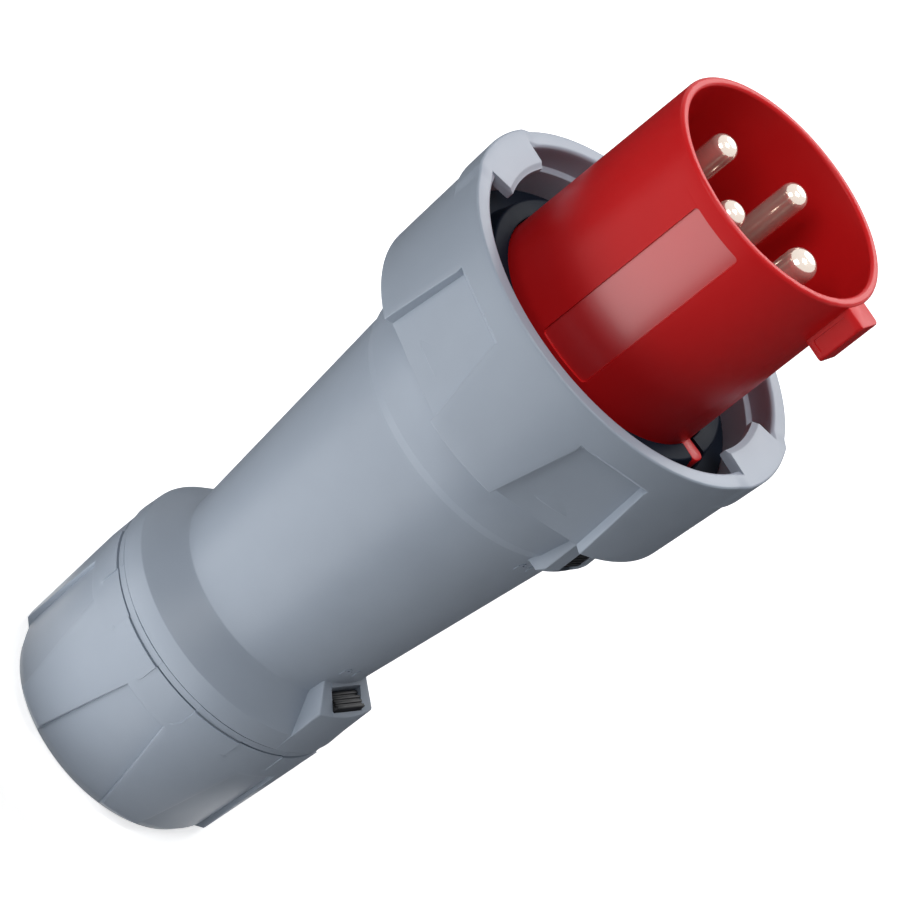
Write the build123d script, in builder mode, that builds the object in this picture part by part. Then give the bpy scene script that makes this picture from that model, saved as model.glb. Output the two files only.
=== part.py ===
from build123d import *

import os
from math import cos, radians, sin

# Industrial pin and sleeve plug, five contacts, standing on its cable gland.
# Millimetres. +Z runs along the plug's axis from the gland to the contact pins,
# the origin is the centre of the gland cap's rear face, and the key is at +X.

# Gland cap, the large nut at the cable end
cap_length = 64.2
cap_rear_radius = 48.6
cap_front_radius = 52.2
cap_rear_round = 4.0
cap_rear_wall = 4.0
cap_mouth_radius = 24.0
cap_mouth_flare = 2.0
cap_grip_count = 6
cap_grip_angle = 42.5
cap_grip_length = 47.2
cap_grip_front_angle = 10.6
cap_grip_rear_angle = 21.5
cap_grip_front_depth = 1.0
cap_grip_rear_depth = 2.2
cap_groove_back = 3.2
cap_groove_width = 0.7
cap_groove_depth = 0.9
cap_window_count = 8
cap_window_angle = 15.0
cap_window_length = 9.0
cap_window_depth = 0.35
ratchet_count = 16
ratchet_notch_angle = 10.5
ratchet_depth = 2.6

# Handle, the tapered housing between the gland and the bayonet ring
cap_gap = 0.4
neck_radius = 44.5
neck_end_height = 20.0
flange_radius = 51.9
flange_length = 8.4
shoulder_length = 13.2
foot_radius = 40.9
taper_length = 102.1
taper_inset = 1.4
step_length = 3.7
collar_taper = 3.6
collar_length = 19.5
collar_step = 2.4
spigot_step = 9.0
spigot_length = 17.5
spigot_wall = 4.0
spigot_bore_depth = 26.5
handle_wall = 3.3

# Cable gland parts
seal_bore_radius = 36.0
seal_length = 30.0
seal_stop_radius = 31.0
seal_stop_width = 4.0
cable_radius = 19.0
jaw_flange_radius = 42.6
jaw_flange_thickness = 4.5
jaw_reach = 9.0
jaw_tip_thickness = 3.0
jaw_slope = 4.5
jaw_clearance = 1.5
jaw_count = 8
jaw_slot = 3.0

# Bayonet ring
ring_length = 50.0
ring_taper = 2.6
ring_rear_bevel = 3.4
ring_bevel_width = 6.5
ring_bevel_rise = 0.4
ring_wall = 7.2
ring_chamber_width = 8.4
ring_mouth_step = 2.0
ring_rim_wall = 6.2
ring_mouth_depth = 9.8
ring_rim_round = 1.6
lug_angle = 12.6
lug_half_angle = 14.7
lug_reach = 8.4
lug_thickness = 3.8
pad_half_angle = 17.5
pad_height = 1.0
pad_length = 20.0
pad_rise = 0.6
grip_pitch_angle = 60.0
grip_front_angle = 12.2
grip_rear_angle = 18.2
grip_front_depth = 5.6
grip_rear_depth = 6.8
grip_floor_back = 20.3
grip_edge_back = 12.3
grip_draft = 0.15
grip_cutter_reach = 8.0

# Shroud, the red sleeve around the pins
shroud_radius = 45.0
shroud_wall = 3.5
shroud_reach = 92.0
shroud_rim_round = 1.3
shroud_lip = 0.8
shroud_lip_height = 11.0
shroud_flange_gap = 0.5
shroud_flange_thickness = 9.0
skirt_wall = 2.5
skirt_length = 25.5
panel_angle = -82.2
panel_span_angle = 27.8
panel_length = 70.9
panel_back = 6.5
panel_depth = 0.5
panel_round = 1.6
key_reach = 7.8
key_width = 12.0
key_length = 20.5
key_round = 1.6
key_panel_length = 14.0
key_panel_height = 4.6
key_panel_depth = 0.4
tab_reach = 8.0
tab_angle = 3.0
tab_half_angle = 4.0
tab_height = 5.6

# Contacts
pin_circle_radius = 22.8
pin_setback = 5.0
phase_radius = 5.0
earth_radius = 6.0
pilot_radius = 3.0
pilot_setback = 22.0
pin_shank_step = 0.6
pin_tip_flat = 0.9
pin_collar_height = 5.0
phase_collar_radius = 9.5
earth_collar_radius = 10.0
pilot_collar_radius = 6.0
phase_terminal_radius = 8.0
earth_terminal_radius = 8.6
pilot_terminal_radius = 4.5
main_terminal_length = 46.0
pilot_terminal_length = 44.0
main_wire_radius = 5.2
pilot_wire_radius = 2.0
main_wire_depth = 24.0
pilot_wire_depth = 10.0

# Insulating carriers that hold the contacts
carrier_height = 29.0
carrier_flange_thickness = 4.0
rear_carrier_gap = 9.2
rear_carrier_height = 22.0
barrier_thickness = 3.0
barrier_gap = 2.0
barrier_length = 26.0
barrier_tube_wall = 2.4
barrier_tube_length = 16.0
carrier_screw_inset = 4.5
carrier_screw_radius = 2.0
carrier_screw_depth = 14.0
carrier_screw_head = 3.5
carrier_screw_head_height = 3.0
flange_screw_radius = 1.5
flange_screw_depth = 4.0
flange_screw_head = 2.4
flange_screw_head_height = 2.4
terminal_screw_radius = 3.0
terminal_screw_first = 6.0
pilot_screw_first = 5.0
terminal_screw_pitch = 10.0
pilot_screw_radius = 1.3
screw_proud = 1.5

# Seals and the ring's retainer
front_seal_thickness = 3.6
front_seal_collar_width = 7.8
front_seal_collar_height = 9.0
oring_radius = 0.78
oring_squeeze = 0.2
oring_height = 12.0
retainer_reach = 4.0
retainer_thickness = 3.0
retainer_groove = 1.5
retainer_gap = 6.0

# Locks
lock_angle = -9.5
lock_travel = 3.3
gland_boss_angle = 34.5
gland_boss_height = 20.8
gland_boss_slope = 6.3
gland_slot_inset = 9.4
gland_slot_width = 7.5
gland_slider_width = 14.4
gland_slider_setback = 3.0
tongue_width = 8.0
tongue_thickness = 3.1
tongue_inset = 2.4
tongue_hide = 0.6
housing_boss_proud = 1.4
housing_boss_angle = 25.0
housing_boss_rear = 25.0
housing_boss_front = 2.5
housing_slider_width = 10.0
housing_slider_height = 3.9
housing_slider_length = 14.0
pawl_width = 8.0
pawl_length = 4.0
pawl_depth = 2.1
rib_pitch = 1.7
rib_groove = 0.8
rib_depth = 0.6

# Clearances
moving_gap = 0.3
bearing_gap = 0.1
fixed_gap = 0.1
thread_gap = 0.05

# How far a cutter reaches past the surface that it cuts
past = 1.0

# Heights along the axis, worked out from the sizes above
flange_rear_z = cap_length + cap_gap
neck_end_z = neck_end_height
flange_front_z = flange_rear_z + flange_length
foot_z = flange_front_z + shoulder_length
step_z = foot_z + taper_length
collar_rear_z = step_z + step_length
collar_front_z = collar_rear_z + collar_length
ring_rear_z = collar_front_z + moving_gap
ring_front_z = ring_rear_z + ring_length
ring_wall_z = ring_rear_z + ring_wall
spigot_end_z = collar_front_z + spigot_length
shroud_flange_z = spigot_end_z + shroud_flange_thickness
rim_z = shroud_flange_z + shroud_reach
skirt_end_z = spigot_end_z - skirt_length
carrier_front_z = spigot_end_z + carrier_height
rear_carrier_z = spigot_end_z - rear_carrier_height
pin_tip_z = rim_z - pin_setback
collar_seat_z = spigot_end_z - pin_collar_height
seal_stop_z = neck_end_z + seal_length
jaw_face_z = neck_end_z - jaw_flange_thickness
pawl_front_z = skirt_end_z + pawl_length - 1.0
cap_bore_radius = neck_radius + moving_gap
diagonals = [45, 135, 225, 315]

# Radii, worked out from the sleeve outwards and inwards
shroud_bore = shroud_radius - shroud_wall
key_radius = shroud_radius + key_reach
tab_radius = shroud_radius + tab_reach
front_seal_collar_radius = shroud_radius + front_seal_collar_width
spigot_radius = shroud_radius + spigot_step
skirt_radius = spigot_radius - spigot_wall - moving_gap
skirt_bore = skirt_radius - skirt_wall
pawl_inner = skirt_radius - pawl_depth
rear_carrier_radius = skirt_bore - rear_carrier_gap
carrier_screw_circle_radius = rear_carrier_radius - carrier_screw_inset
barrier_reach = carrier_screw_circle_radius - carrier_screw_head - barrier_gap
retainer_radius = spigot_radius + retainer_reach
collar_front_radius = spigot_radius + collar_step
collar_rear_radius = collar_front_radius - collar_taper
taper_front_radius = collar_rear_radius - taper_inset
housing_boss_radius = collar_front_radius + housing_boss_proud
ring_bore_radius = spigot_radius + ring_chamber_width
ring_mouth_radius = ring_bore_radius + ring_mouth_step
ring_front_radius = ring_mouth_radius + ring_rim_wall
ring_rear_radius = ring_front_radius - ring_taper
ring_bevel_radius = ring_rear_radius - ring_bevel_width
lug_radius = ring_mouth_radius - lug_reach
grip_front_floor = ring_front_radius - grip_front_depth
grip_rear_floor = ring_rear_radius - grip_rear_depth
shroud_flange_radius = ring_bore_radius - shroud_flange_gap
handle_inner_foot = foot_radius - handle_wall
handle_inner_step = taper_front_radius - handle_wall
gland_slot_inner = flange_radius - gland_slot_inset
gland_slot_outer = gland_slot_inner + gland_slot_width
tongue_outer = flange_radius - tongue_inset


def turned(points, rounded=(), mode=Mode.ADD):
    """Revolve a closed outline of (radius, height) points, with some corners rounded."""
    with BuildSketch(Plane.XZ) as outline:
        with BuildLine():
            Polyline(*points, close=True)
        make_face()
        for place, corner_radius in rounded:
            fillet(outline.vertices().sort_by_distance(place)[0], corner_radius)
    revolve(outline.sketch, axis=Axis.Z, mode=mode)


def radial_plane(angle):
    """The half-plane through the axis at an angle: x is the radius and y is the height."""
    turn = radians(angle)
    return Plane(origin=(0, 0, 0), x_dir=(cos(turn), sin(turn), 0), z_dir=(sin(turn), -cos(turn), 0))


def sector(points, middle, width, mode=Mode.ADD):
    """Revolve an outline of (radius, height) points through a sector about a middle angle."""
    with BuildSketch(radial_plane(middle - width / 2)) as outline:
        with BuildLine():
            Polyline(*points, close=True)
        make_face()
    revolve(outline.sketch, axis=Axis.Z, revolution_arc=width, mode=mode)


def block(angle, inner, outer, width, low, high, mode=Mode.ADD):
    """A straight-sided block at an angle, from one distance to another and one height to another."""
    with BuildSketch(Plane.XY.offset(low).rotated((0, 0, angle))) as outline:
        with Locations(((inner + outer) / 2, 0)):
            Rectangle(outer - inner, width)
    extrude(outline.sketch, amount=high - low, mode=mode)


def box_of(low_radius, high_radius, low, high):
    """The four corners of a rectangle in (radius, height)."""
    return [(low_radius, low), (high_radius, low), (high_radius, high), (low_radius, high)]


def save(builder, name):
    """Label a finished piece and write its file."""
    builder.part.label = name
    export_step(builder.part, f"parts/{name}.step")


os.makedirs("parts", exist_ok=True)


# Gland cap: a moulded nut with six trapezoid grips, a fine groove behind its front edge,
# shallow windows, and ratchet notches in its front face for the lock.
def cap_radius_at(height):
    """The cap's outer radius at a height, on its slight taper."""
    return cap_rear_radius + (cap_front_radius - cap_rear_radius) * height / cap_length


def cap_grip_section(height, half_angle, depth, angle):
    """One end of a grip's cutter: an arc at the floor and a straight edge well outside."""
    floor = cap_radius_at(height) - depth
    half = radians(half_angle)
    outer = cap_front_radius + grip_cutter_reach
    with BuildSketch(Plane.XY.offset(height).rotated((0, 0, angle))) as section:
        with BuildLine():
            ThreePointArc((floor * cos(half), -floor * sin(half)), (floor, 0),
                          (floor * cos(half), floor * sin(half)))
            Polyline((floor * cos(half), floor * sin(half)), (outer, outer * sin(half)),
                     (outer, -outer * sin(half)), (floor * cos(half), -floor * sin(half)))
        make_face()
    return section.sketch


with BuildPart() as gland_cap:
    turned(
        [(cap_mouth_radius + cap_mouth_flare, 0), (cap_rear_radius - 1.0, 0),
         (cap_radius_at(cap_rear_round), cap_rear_round), (cap_front_radius, cap_length),
         (cap_bore_radius, cap_length), (cap_bore_radius, cap_rear_wall),
         (cap_mouth_radius, cap_rear_wall), (cap_mouth_radius, cap_mouth_flare)],
        rounded=[((cap_rear_radius - 1.0, 0), 2.2), ((cap_front_radius, cap_length), 0.5)],
    )
    for number in range(cap_grip_count):
        turn = cap_grip_angle + 360 / cap_grip_count * number
        loft([cap_grip_section(0, cap_grip_rear_angle, cap_grip_rear_depth, turn),
              cap_grip_section(cap_grip_length, cap_grip_front_angle, cap_grip_front_depth, turn)],
             ruled=True, mode=Mode.SUBTRACT)
    groove_z = cap_length - cap_groove_back
    turned(box_of(cap_front_radius - cap_groove_depth, cap_front_radius + 1.0,
                  groove_z, groove_z + cap_groove_width), mode=Mode.SUBTRACT)
    for number in range(cap_window_count):
        sector(box_of(cap_radius_at(cap_length - cap_window_length) - cap_window_depth,
                      cap_front_radius + 1.0, cap_length - cap_window_length, cap_length + 1.0),
               cap_window_angle + 360 / cap_window_count * number, 180 / cap_window_count,
               mode=Mode.SUBTRACT)
    for number in range(ratchet_count):
        sector(box_of(tongue_outer - tongue_thickness - moving_gap - 0.3, tongue_outer + moving_gap + 0.3,
                      cap_length - ratchet_depth, cap_length + 1.0),
               lock_angle + 360 / ratchet_count * number, ratchet_notch_angle, mode=Mode.SUBTRACT)
save(gland_cap, "gland_cap")

# Handle: one tapered moulding with the gland neck, a flange, a cone up to the taper,
# the collar behind the bayonet ring, the spigot that the ring turns on, and two lock bosses.
slot_floor_z = flange_front_z - 0.5
boss_top_z = flange_front_z + gland_boss_height
slider_front_z = boss_top_z - gland_slider_setback
housing_slot_inner = collar_rear_radius + moving_gap
with BuildPart() as handle:
    turned(
        [(0, neck_end_z), (neck_radius, neck_end_z), (neck_radius, flange_rear_z),
         (flange_radius, flange_rear_z), (flange_radius - 0.6, flange_front_z),
         (foot_radius, foot_z), (taper_front_radius, step_z), (collar_rear_radius, collar_rear_z),
         (collar_front_radius, collar_front_z), (spigot_radius, collar_front_z),
         (spigot_radius, spigot_end_z), (0, spigot_end_z)],
        rounded=[((flange_radius - 0.6, flange_front_z), 1.0), ((foot_radius, foot_z), 1.2),
                 ((flange_radius, flange_rear_z), 0.4), ((collar_rear_radius, collar_rear_z), 1.0),
                 ((collar_front_radius, collar_front_z), 0.6)],
    )
    sector([(foot_radius - handle_wall, flange_front_z - 2.0), (flange_radius - 0.2, flange_front_z - 2.0),
            (flange_radius - 0.2, boss_top_z - gland_boss_slope), (foot_radius + 0.4, boss_top_z),
            (foot_radius - handle_wall, boss_top_z)], lock_angle, gland_boss_angle)
    sector([(spigot_radius - spigot_wall, collar_front_z - housing_boss_rear),
            (housing_boss_radius - 2.0, collar_front_z - housing_boss_rear + 1.0),
            (housing_boss_radius, collar_front_z - housing_boss_rear + 5.0),
            (housing_boss_radius, collar_front_z - housing_boss_front),
            (spigot_radius - spigot_wall, collar_front_z - housing_boss_front)],
           lock_angle, housing_boss_angle)
    turned([(0, neck_end_z), (seal_bore_radius, neck_end_z), (seal_bore_radius, seal_stop_z),
            (seal_stop_radius, seal_stop_z), (seal_stop_radius, seal_stop_z + seal_stop_width),
            (handle_inner_foot, seal_stop_z + 3 * seal_stop_width), (handle_inner_foot, foot_z),
            (handle_inner_step, step_z), (skirt_radius + moving_gap, spigot_end_z - spigot_bore_depth),
            (skirt_radius + moving_gap, spigot_end_z), (0, spigot_end_z)], mode=Mode.SUBTRACT)
    turned(box_of(spigot_radius - retainer_groove, spigot_radius + 1.0, ring_wall_z + moving_gap,
                  ring_wall_z + moving_gap + retainer_thickness + fixed_gap), mode=Mode.SUBTRACT)
    block(lock_angle, gland_slot_inner, gland_slot_outer, gland_slider_width + 2 * moving_gap,
          slot_floor_z, boss_top_z + 1.0, mode=Mode.SUBTRACT)
    block(lock_angle, tongue_outer - tongue_thickness - moving_gap, tongue_outer + moving_gap,
          tongue_width + 2 * moving_gap, flange_rear_z - 1.0, slot_floor_z + 1.0, mode=Mode.SUBTRACT)
    block(lock_angle, housing_slot_inner, housing_boss_radius + 4.0, housing_slider_width + 2 * moving_gap,
          pawl_front_z - housing_slider_length - lock_travel - moving_gap, pawl_front_z + moving_gap,
          mode=Mode.SUBTRACT)
    block(lock_angle, pawl_inner - 2.0, housing_slot_inner + 1.0, pawl_width + 2 * moving_gap,
          pawl_front_z - pawl_length - lock_travel - moving_gap, pawl_front_z + moving_gap,
          mode=Mode.SUBTRACT)
save(handle, "handle")

# Gland lock: a black slider in the rear boss, with a ribbed face and a tongue that drops
# into a ratchet notch of the cap. It is drawn in its released place.
slider_low_z = slot_floor_z + lock_travel + moving_gap
with BuildPart() as gland_lock:
    block(lock_angle, gland_slot_inner + moving_gap, gland_slot_outer - moving_gap, gland_slider_width,
          slider_low_z, slider_front_z)
    block(lock_angle, tongue_outer - tongue_thickness, tongue_outer, tongue_width,
          flange_rear_z + tongue_hide, slider_low_z + 1.0)
    for number in range(3):
        rib_x = gland_slot_inner + moving_gap + rib_pitch * (number + 1)
        block(lock_angle, rib_x, rib_x + rib_groove, gland_slider_width + 1.0,
              slider_front_z - rib_depth, slider_front_z + 1.0, mode=Mode.SUBTRACT)
save(gland_lock, "gland_lock")

# Housing lock: the smaller slider behind the bayonet ring, whose pawl holds the shroud's skirt.
housing_slider_inner = housing_slot_inner + moving_gap
with BuildPart() as housing_lock:
    block(lock_angle, housing_slider_inner, housing_slider_inner + housing_slider_height,
          housing_slider_width, pawl_front_z - housing_slider_length, pawl_front_z)
    block(lock_angle, pawl_inner, housing_slider_inner + 1.0, pawl_width,
          pawl_front_z - pawl_length, pawl_front_z)
    for number in range(5):
        rib_z = pawl_front_z - housing_slider_length + rib_pitch * (number + 1)
        block(lock_angle, housing_slider_inner + housing_slider_height - rib_depth,
              housing_slider_inner + housing_slider_height + 1.0, housing_slider_width + 1.0,
              rib_z, rib_z + rib_groove, mode=Mode.SUBTRACT)
save(housing_lock, "housing_lock")

# Gland seal: a thick rubber sleeve that is squeezed around the cable.
with BuildPart() as gland_seal:
    turned([(cable_radius + 1.5, neck_end_z), (seal_bore_radius - fixed_gap, neck_end_z),
            (seal_bore_radius - fixed_gap, seal_stop_z), (cable_radius + 1.5, seal_stop_z),
            (cable_radius, seal_stop_z - 1.5), (cable_radius, neck_end_z + 1.5)])
save(gland_seal, "gland_seal")

# Clamp jaws: a flanged ring on the end of the neck with eight fingers around the cable.
jaw_inner = cable_radius + jaw_clearance
jaw_tip_z = jaw_face_z - jaw_reach
with BuildPart() as clamp_jaws:
    turned([(jaw_inner, jaw_tip_z), (jaw_inner + jaw_tip_thickness, jaw_tip_z),
            (jaw_inner + jaw_tip_thickness + jaw_slope, jaw_face_z), (jaw_flange_radius, jaw_face_z),
            (jaw_flange_radius, neck_end_z), (jaw_inner, neck_end_z)])
    for number in range(jaw_count):
        block(360 / jaw_count * number, jaw_inner - 2.0, jaw_inner + jaw_tip_thickness + jaw_slope + 1.0,
              jaw_slot, jaw_tip_z - 1.0, jaw_face_z - moving_gap, mode=Mode.SUBTRACT)
save(clamp_jaws, "clamp_jaws")

# Thrust ring: the coned ring between the cap and the jaws, which closes the fingers.
thrust_rear_z = cap_rear_wall + moving_gap
thrust_front_z = jaw_face_z - moving_gap
thrust_bore = jaw_inner + jaw_tip_thickness + 0.6
with BuildPart() as thrust_ring:
    turned([(thrust_bore, thrust_rear_z), (cap_bore_radius - moving_gap, thrust_rear_z),
            (cap_bore_radius - moving_gap, thrust_front_z),
            (thrust_bore + jaw_slope, thrust_front_z), (thrust_bore, jaw_tip_z + moving_gap)])
save(thrust_ring, "thrust_ring")


# Bayonet ring: turns on the handle's spigot. Four flat trapezoid grips are cut into it,
# and at the other two of its six places it has a raised pad with a lug inside the mouth.
def ring_grip_section(height, floor, half_angle, angle):
    """One section of a grip's cutter: a straight floor that widens a little outwards."""
    half_width = floor * sin(radians(half_angle)) / cos(radians(half_angle))
    outer = ring_front_radius + grip_cutter_reach
    draft = (outer - floor) * grip_draft
    with BuildSketch(Plane.XY.offset(height).rotated((0, 0, angle))) as section:
        with BuildLine():
            Polyline((floor, -half_width), (outer, -half_width - draft), (outer, half_width + draft),
                     (floor, half_width), close=True)
        make_face()
    return section.sketch


grip_sections = [
    (ring_rear_z - 3 * past, grip_rear_floor, grip_rear_angle),
    (ring_front_z - grip_floor_back, grip_front_floor, grip_front_angle),
    (ring_front_z - grip_edge_back, ring_front_radius, grip_front_angle),
]
with BuildPart() as bayonet_ring:
    turned(
        [(spigot_radius + bearing_gap, ring_rear_z), (collar_front_radius + 0.8, ring_rear_z),
         (ring_bevel_radius, ring_rear_z + ring_bevel_rise),
         (ring_rear_radius, ring_rear_z + ring_rear_bevel),
         (ring_front_radius, ring_front_z), (ring_mouth_radius, ring_front_z),
         (ring_mouth_radius, ring_front_z - ring_mouth_depth),
         (ring_bore_radius, ring_front_z - ring_mouth_depth - 0.8),
         (ring_bore_radius, ring_wall_z), (spigot_radius + bearing_gap, ring_wall_z)],
        rounded=[((ring_rear_radius, ring_rear_z + ring_rear_bevel), 1.0),
                 ((ring_front_radius, ring_front_z), ring_rim_round),
                 ((ring_mouth_radius, ring_front_z), ring_rim_round)],
    )
    for side in (0, 180):
        sector(box_of(lug_radius, ring_mouth_radius + 1.0, ring_front_z + pad_rise - lug_thickness,
                      ring_front_z + pad_rise), lug_angle + side, 2 * lug_half_angle)
        sector([(ring_mouth_radius + 0.4, ring_front_z - pad_length),
                (ring_front_radius - 1.0, ring_front_z - pad_length),
                (ring_front_radius, ring_front_z - pad_length),
                (ring_front_radius + pad_height, ring_front_z - pad_length + 1.0),
                (ring_front_radius + pad_height, ring_front_z + pad_rise - 1.4),
                (ring_front_radius + pad_height - 1.4, ring_front_z + pad_rise),
                (ring_mouth_radius + 0.4, ring_front_z + pad_rise)],
               lug_angle + side, 2 * pad_half_angle)
        for turn in (grip_pitch_angle, 2 * grip_pitch_angle):
            loft([ring_grip_section(height, floor, half_angle, lug_angle + side + turn)
                  for height, floor, half_angle in grip_sections], ruled=True, mode=Mode.SUBTRACT)
save(bayonet_ring, "bayonet_ring")

# Ring retainer: a split ring in a groove of the spigot, in front of the bayonet ring's wall.
with BuildPart() as ring_retainer:
    turned(box_of(spigot_radius - retainer_groove + fixed_gap, retainer_radius,
                  ring_wall_z + moving_gap, ring_wall_z + moving_gap + retainer_thickness))
    block(180, spigot_radius - retainer_groove - 1.0, retainer_radius + 1.0, retainer_gap,
          ring_wall_z, ring_wall_z + retainer_thickness + 1.0, mode=Mode.SUBTRACT)
save(ring_retainer, "ring_retainer")

# Shroud: the red sleeve with its base flange and the skirt that plugs into the handle,
# a long bare panel sunk in its side, the key lug at the rim and a small tab under the key.
oring_z = skirt_end_z + oring_height
with BuildPart() as shroud:
    turned(
        [(shroud_bore, rim_z), (shroud_radius, rim_z),
         (shroud_radius, shroud_flange_z + shroud_lip_height + 1.4),
         (shroud_radius + shroud_lip, shroud_flange_z + shroud_lip_height),
         (shroud_radius + shroud_lip, shroud_flange_z), (shroud_flange_radius, shroud_flange_z),
         (shroud_flange_radius, spigot_end_z), (skirt_radius, spigot_end_z),
         (skirt_radius, skirt_end_z), (skirt_bore, skirt_end_z),
         (skirt_bore, spigot_end_z + carrier_flange_thickness),
         (shroud_bore, spigot_end_z + carrier_flange_thickness)],
        rounded=[((shroud_bore, rim_z), shroud_rim_round), ((shroud_radius, rim_z), shroud_rim_round)],
    )
    with BuildSketch(Plane.XY.offset(rim_z - key_length)) as key_outline:
        with Locations(((shroud_bore + 1.0 + key_radius) / 2, 0)):
            Rectangle(key_radius - shroud_bore - 1.0, key_width)
        fillet(key_outline.vertices().group_by(Axis.X)[-1], key_round)
    extrude(key_outline.sketch, amount=key_length - 1.0)
    with BuildSketch(Plane.XZ.offset(key_width / 2 - key_panel_depth)) as key_panel:
        with Locations(((shroud_radius + key_radius - 1.0) / 2, rim_z - 1.0 - key_length / 2)):
            RectangleRounded(key_panel_height, key_panel_length, 0.8)
    extrude(key_panel.sketch, amount=key_panel_depth + 1.0, mode=Mode.SUBTRACT)
    sector(box_of(shroud_bore + 1.0, tab_radius, shroud_flange_z + shroud_lip_height - tab_height,
                  shroud_flange_z + shroud_lip_height), tab_angle, 2 * tab_half_angle)
    turned(box_of(skirt_radius - 2 * oring_radius + oring_squeeze, skirt_radius + 1.0,
                  oring_z - oring_radius - 0.3, oring_z + oring_radius + 0.3), mode=Mode.SUBTRACT)
    block(lock_angle, skirt_bore - 2.0, skirt_radius + 2.0, pawl_width + 2 * moving_gap,
          skirt_end_z - 1.0, pawl_front_z + moving_gap, mode=Mode.SUBTRACT)
    for turn in diagonals:
        with BuildSketch(Plane.XY.offset(spigot_end_z + carrier_flange_thickness)) as screw_hole:
            with PolarLocations((shroud_bore + skirt_bore) / 2, 1, start_angle=turn):
                Circle(flange_screw_radius + thread_gap)
        extrude(screw_hole.sketch, amount=flange_screw_depth, mode=Mode.SUBTRACT)
    with BuildPart(mode=Mode.PRIVATE) as panel_cutter:
        sector(box_of(shroud_radius - panel_depth, shroud_radius + 2.0,
                      rim_z - panel_back - panel_length, rim_z - panel_back), panel_angle, panel_span_angle)
        fillet(panel_cutter.edges().filter_by(GeomType.LINE).filter_by(Axis.Z, reverse=True), panel_round)
    add(panel_cutter.part, mode=Mode.SUBTRACT)
save(shroud, "shroud")

# Front seal: a dark rubber ring on the shroud's flange, with a collar around its base.
with BuildPart() as front_seal:
    seal_inner = shroud_radius + shroud_lip + fixed_gap
    turned([(seal_inner, shroud_flange_z), (shroud_flange_radius - 0.6, shroud_flange_z),
            (shroud_flange_radius - 0.6, shroud_flange_z + front_seal_thickness),
            (front_seal_collar_radius + 0.8, shroud_flange_z + front_seal_thickness),
            (front_seal_collar_radius, shroud_flange_z + front_seal_collar_height),
            (seal_inner, shroud_flange_z + front_seal_collar_height)],
           rounded=[((front_seal_collar_radius, shroud_flange_z + front_seal_collar_height), 1.0)])
    sector(box_of(seal_inner - 1.0, front_seal_collar_radius + 2.0,
                  shroud_flange_z + front_seal_thickness, shroud_flange_z + front_seal_collar_height + 1.0),
           tab_angle, 2 * tab_half_angle + 2.0, mode=Mode.SUBTRACT)
save(front_seal, "front_seal")

# Housing seal: the O-ring between the shroud's skirt and the handle.
with BuildPart() as housing_seal:
    with BuildSketch(Plane.XZ) as oring_section:
        with Locations((skirt_radius - oring_radius + oring_squeeze + fixed_gap / 2, oring_z)):
            Circle(oring_radius)
    revolve(oring_section.sketch, axis=Axis.Z)
save(housing_seal, "housing_seal")

# Contacts: name, angle, radius, tip height, collar, terminal radius and length,
# wire bore radius and depth, for the three phases, the earth and the pilot on the axis.
contacts = [
    ("phase_pin_1", 90, pin_circle_radius, phase_radius, pin_tip_z, phase_collar_radius,
     phase_terminal_radius, main_terminal_length, main_wire_radius, main_wire_depth),
    ("phase_pin_2", 180, pin_circle_radius, phase_radius, pin_tip_z, phase_collar_radius,
     phase_terminal_radius, main_terminal_length, main_wire_radius, main_wire_depth),
    ("phase_pin_3", 270, pin_circle_radius, phase_radius, pin_tip_z, phase_collar_radius,
     phase_terminal_radius, main_terminal_length, main_wire_radius, main_wire_depth),
    ("earth_pin", 0, pin_circle_radius, earth_radius, pin_tip_z, earth_collar_radius,
     earth_terminal_radius, main_terminal_length, main_wire_radius, main_wire_depth),
    ("pilot_pin", 0, 0, pilot_radius, rim_z - pilot_setback, pilot_collar_radius,
     pilot_terminal_radius, pilot_terminal_length, pilot_wire_radius, pilot_wire_depth),
]


def terminal_screw_heights(length):
    """Two clamping screws on a long terminal and one on a short one."""
    rear = collar_seat_z - length
    if length == pilot_terminal_length:
        return [rear + pilot_screw_first]
    return [rear + terminal_screw_first, rear + terminal_screw_first + terminal_screw_pitch]


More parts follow.
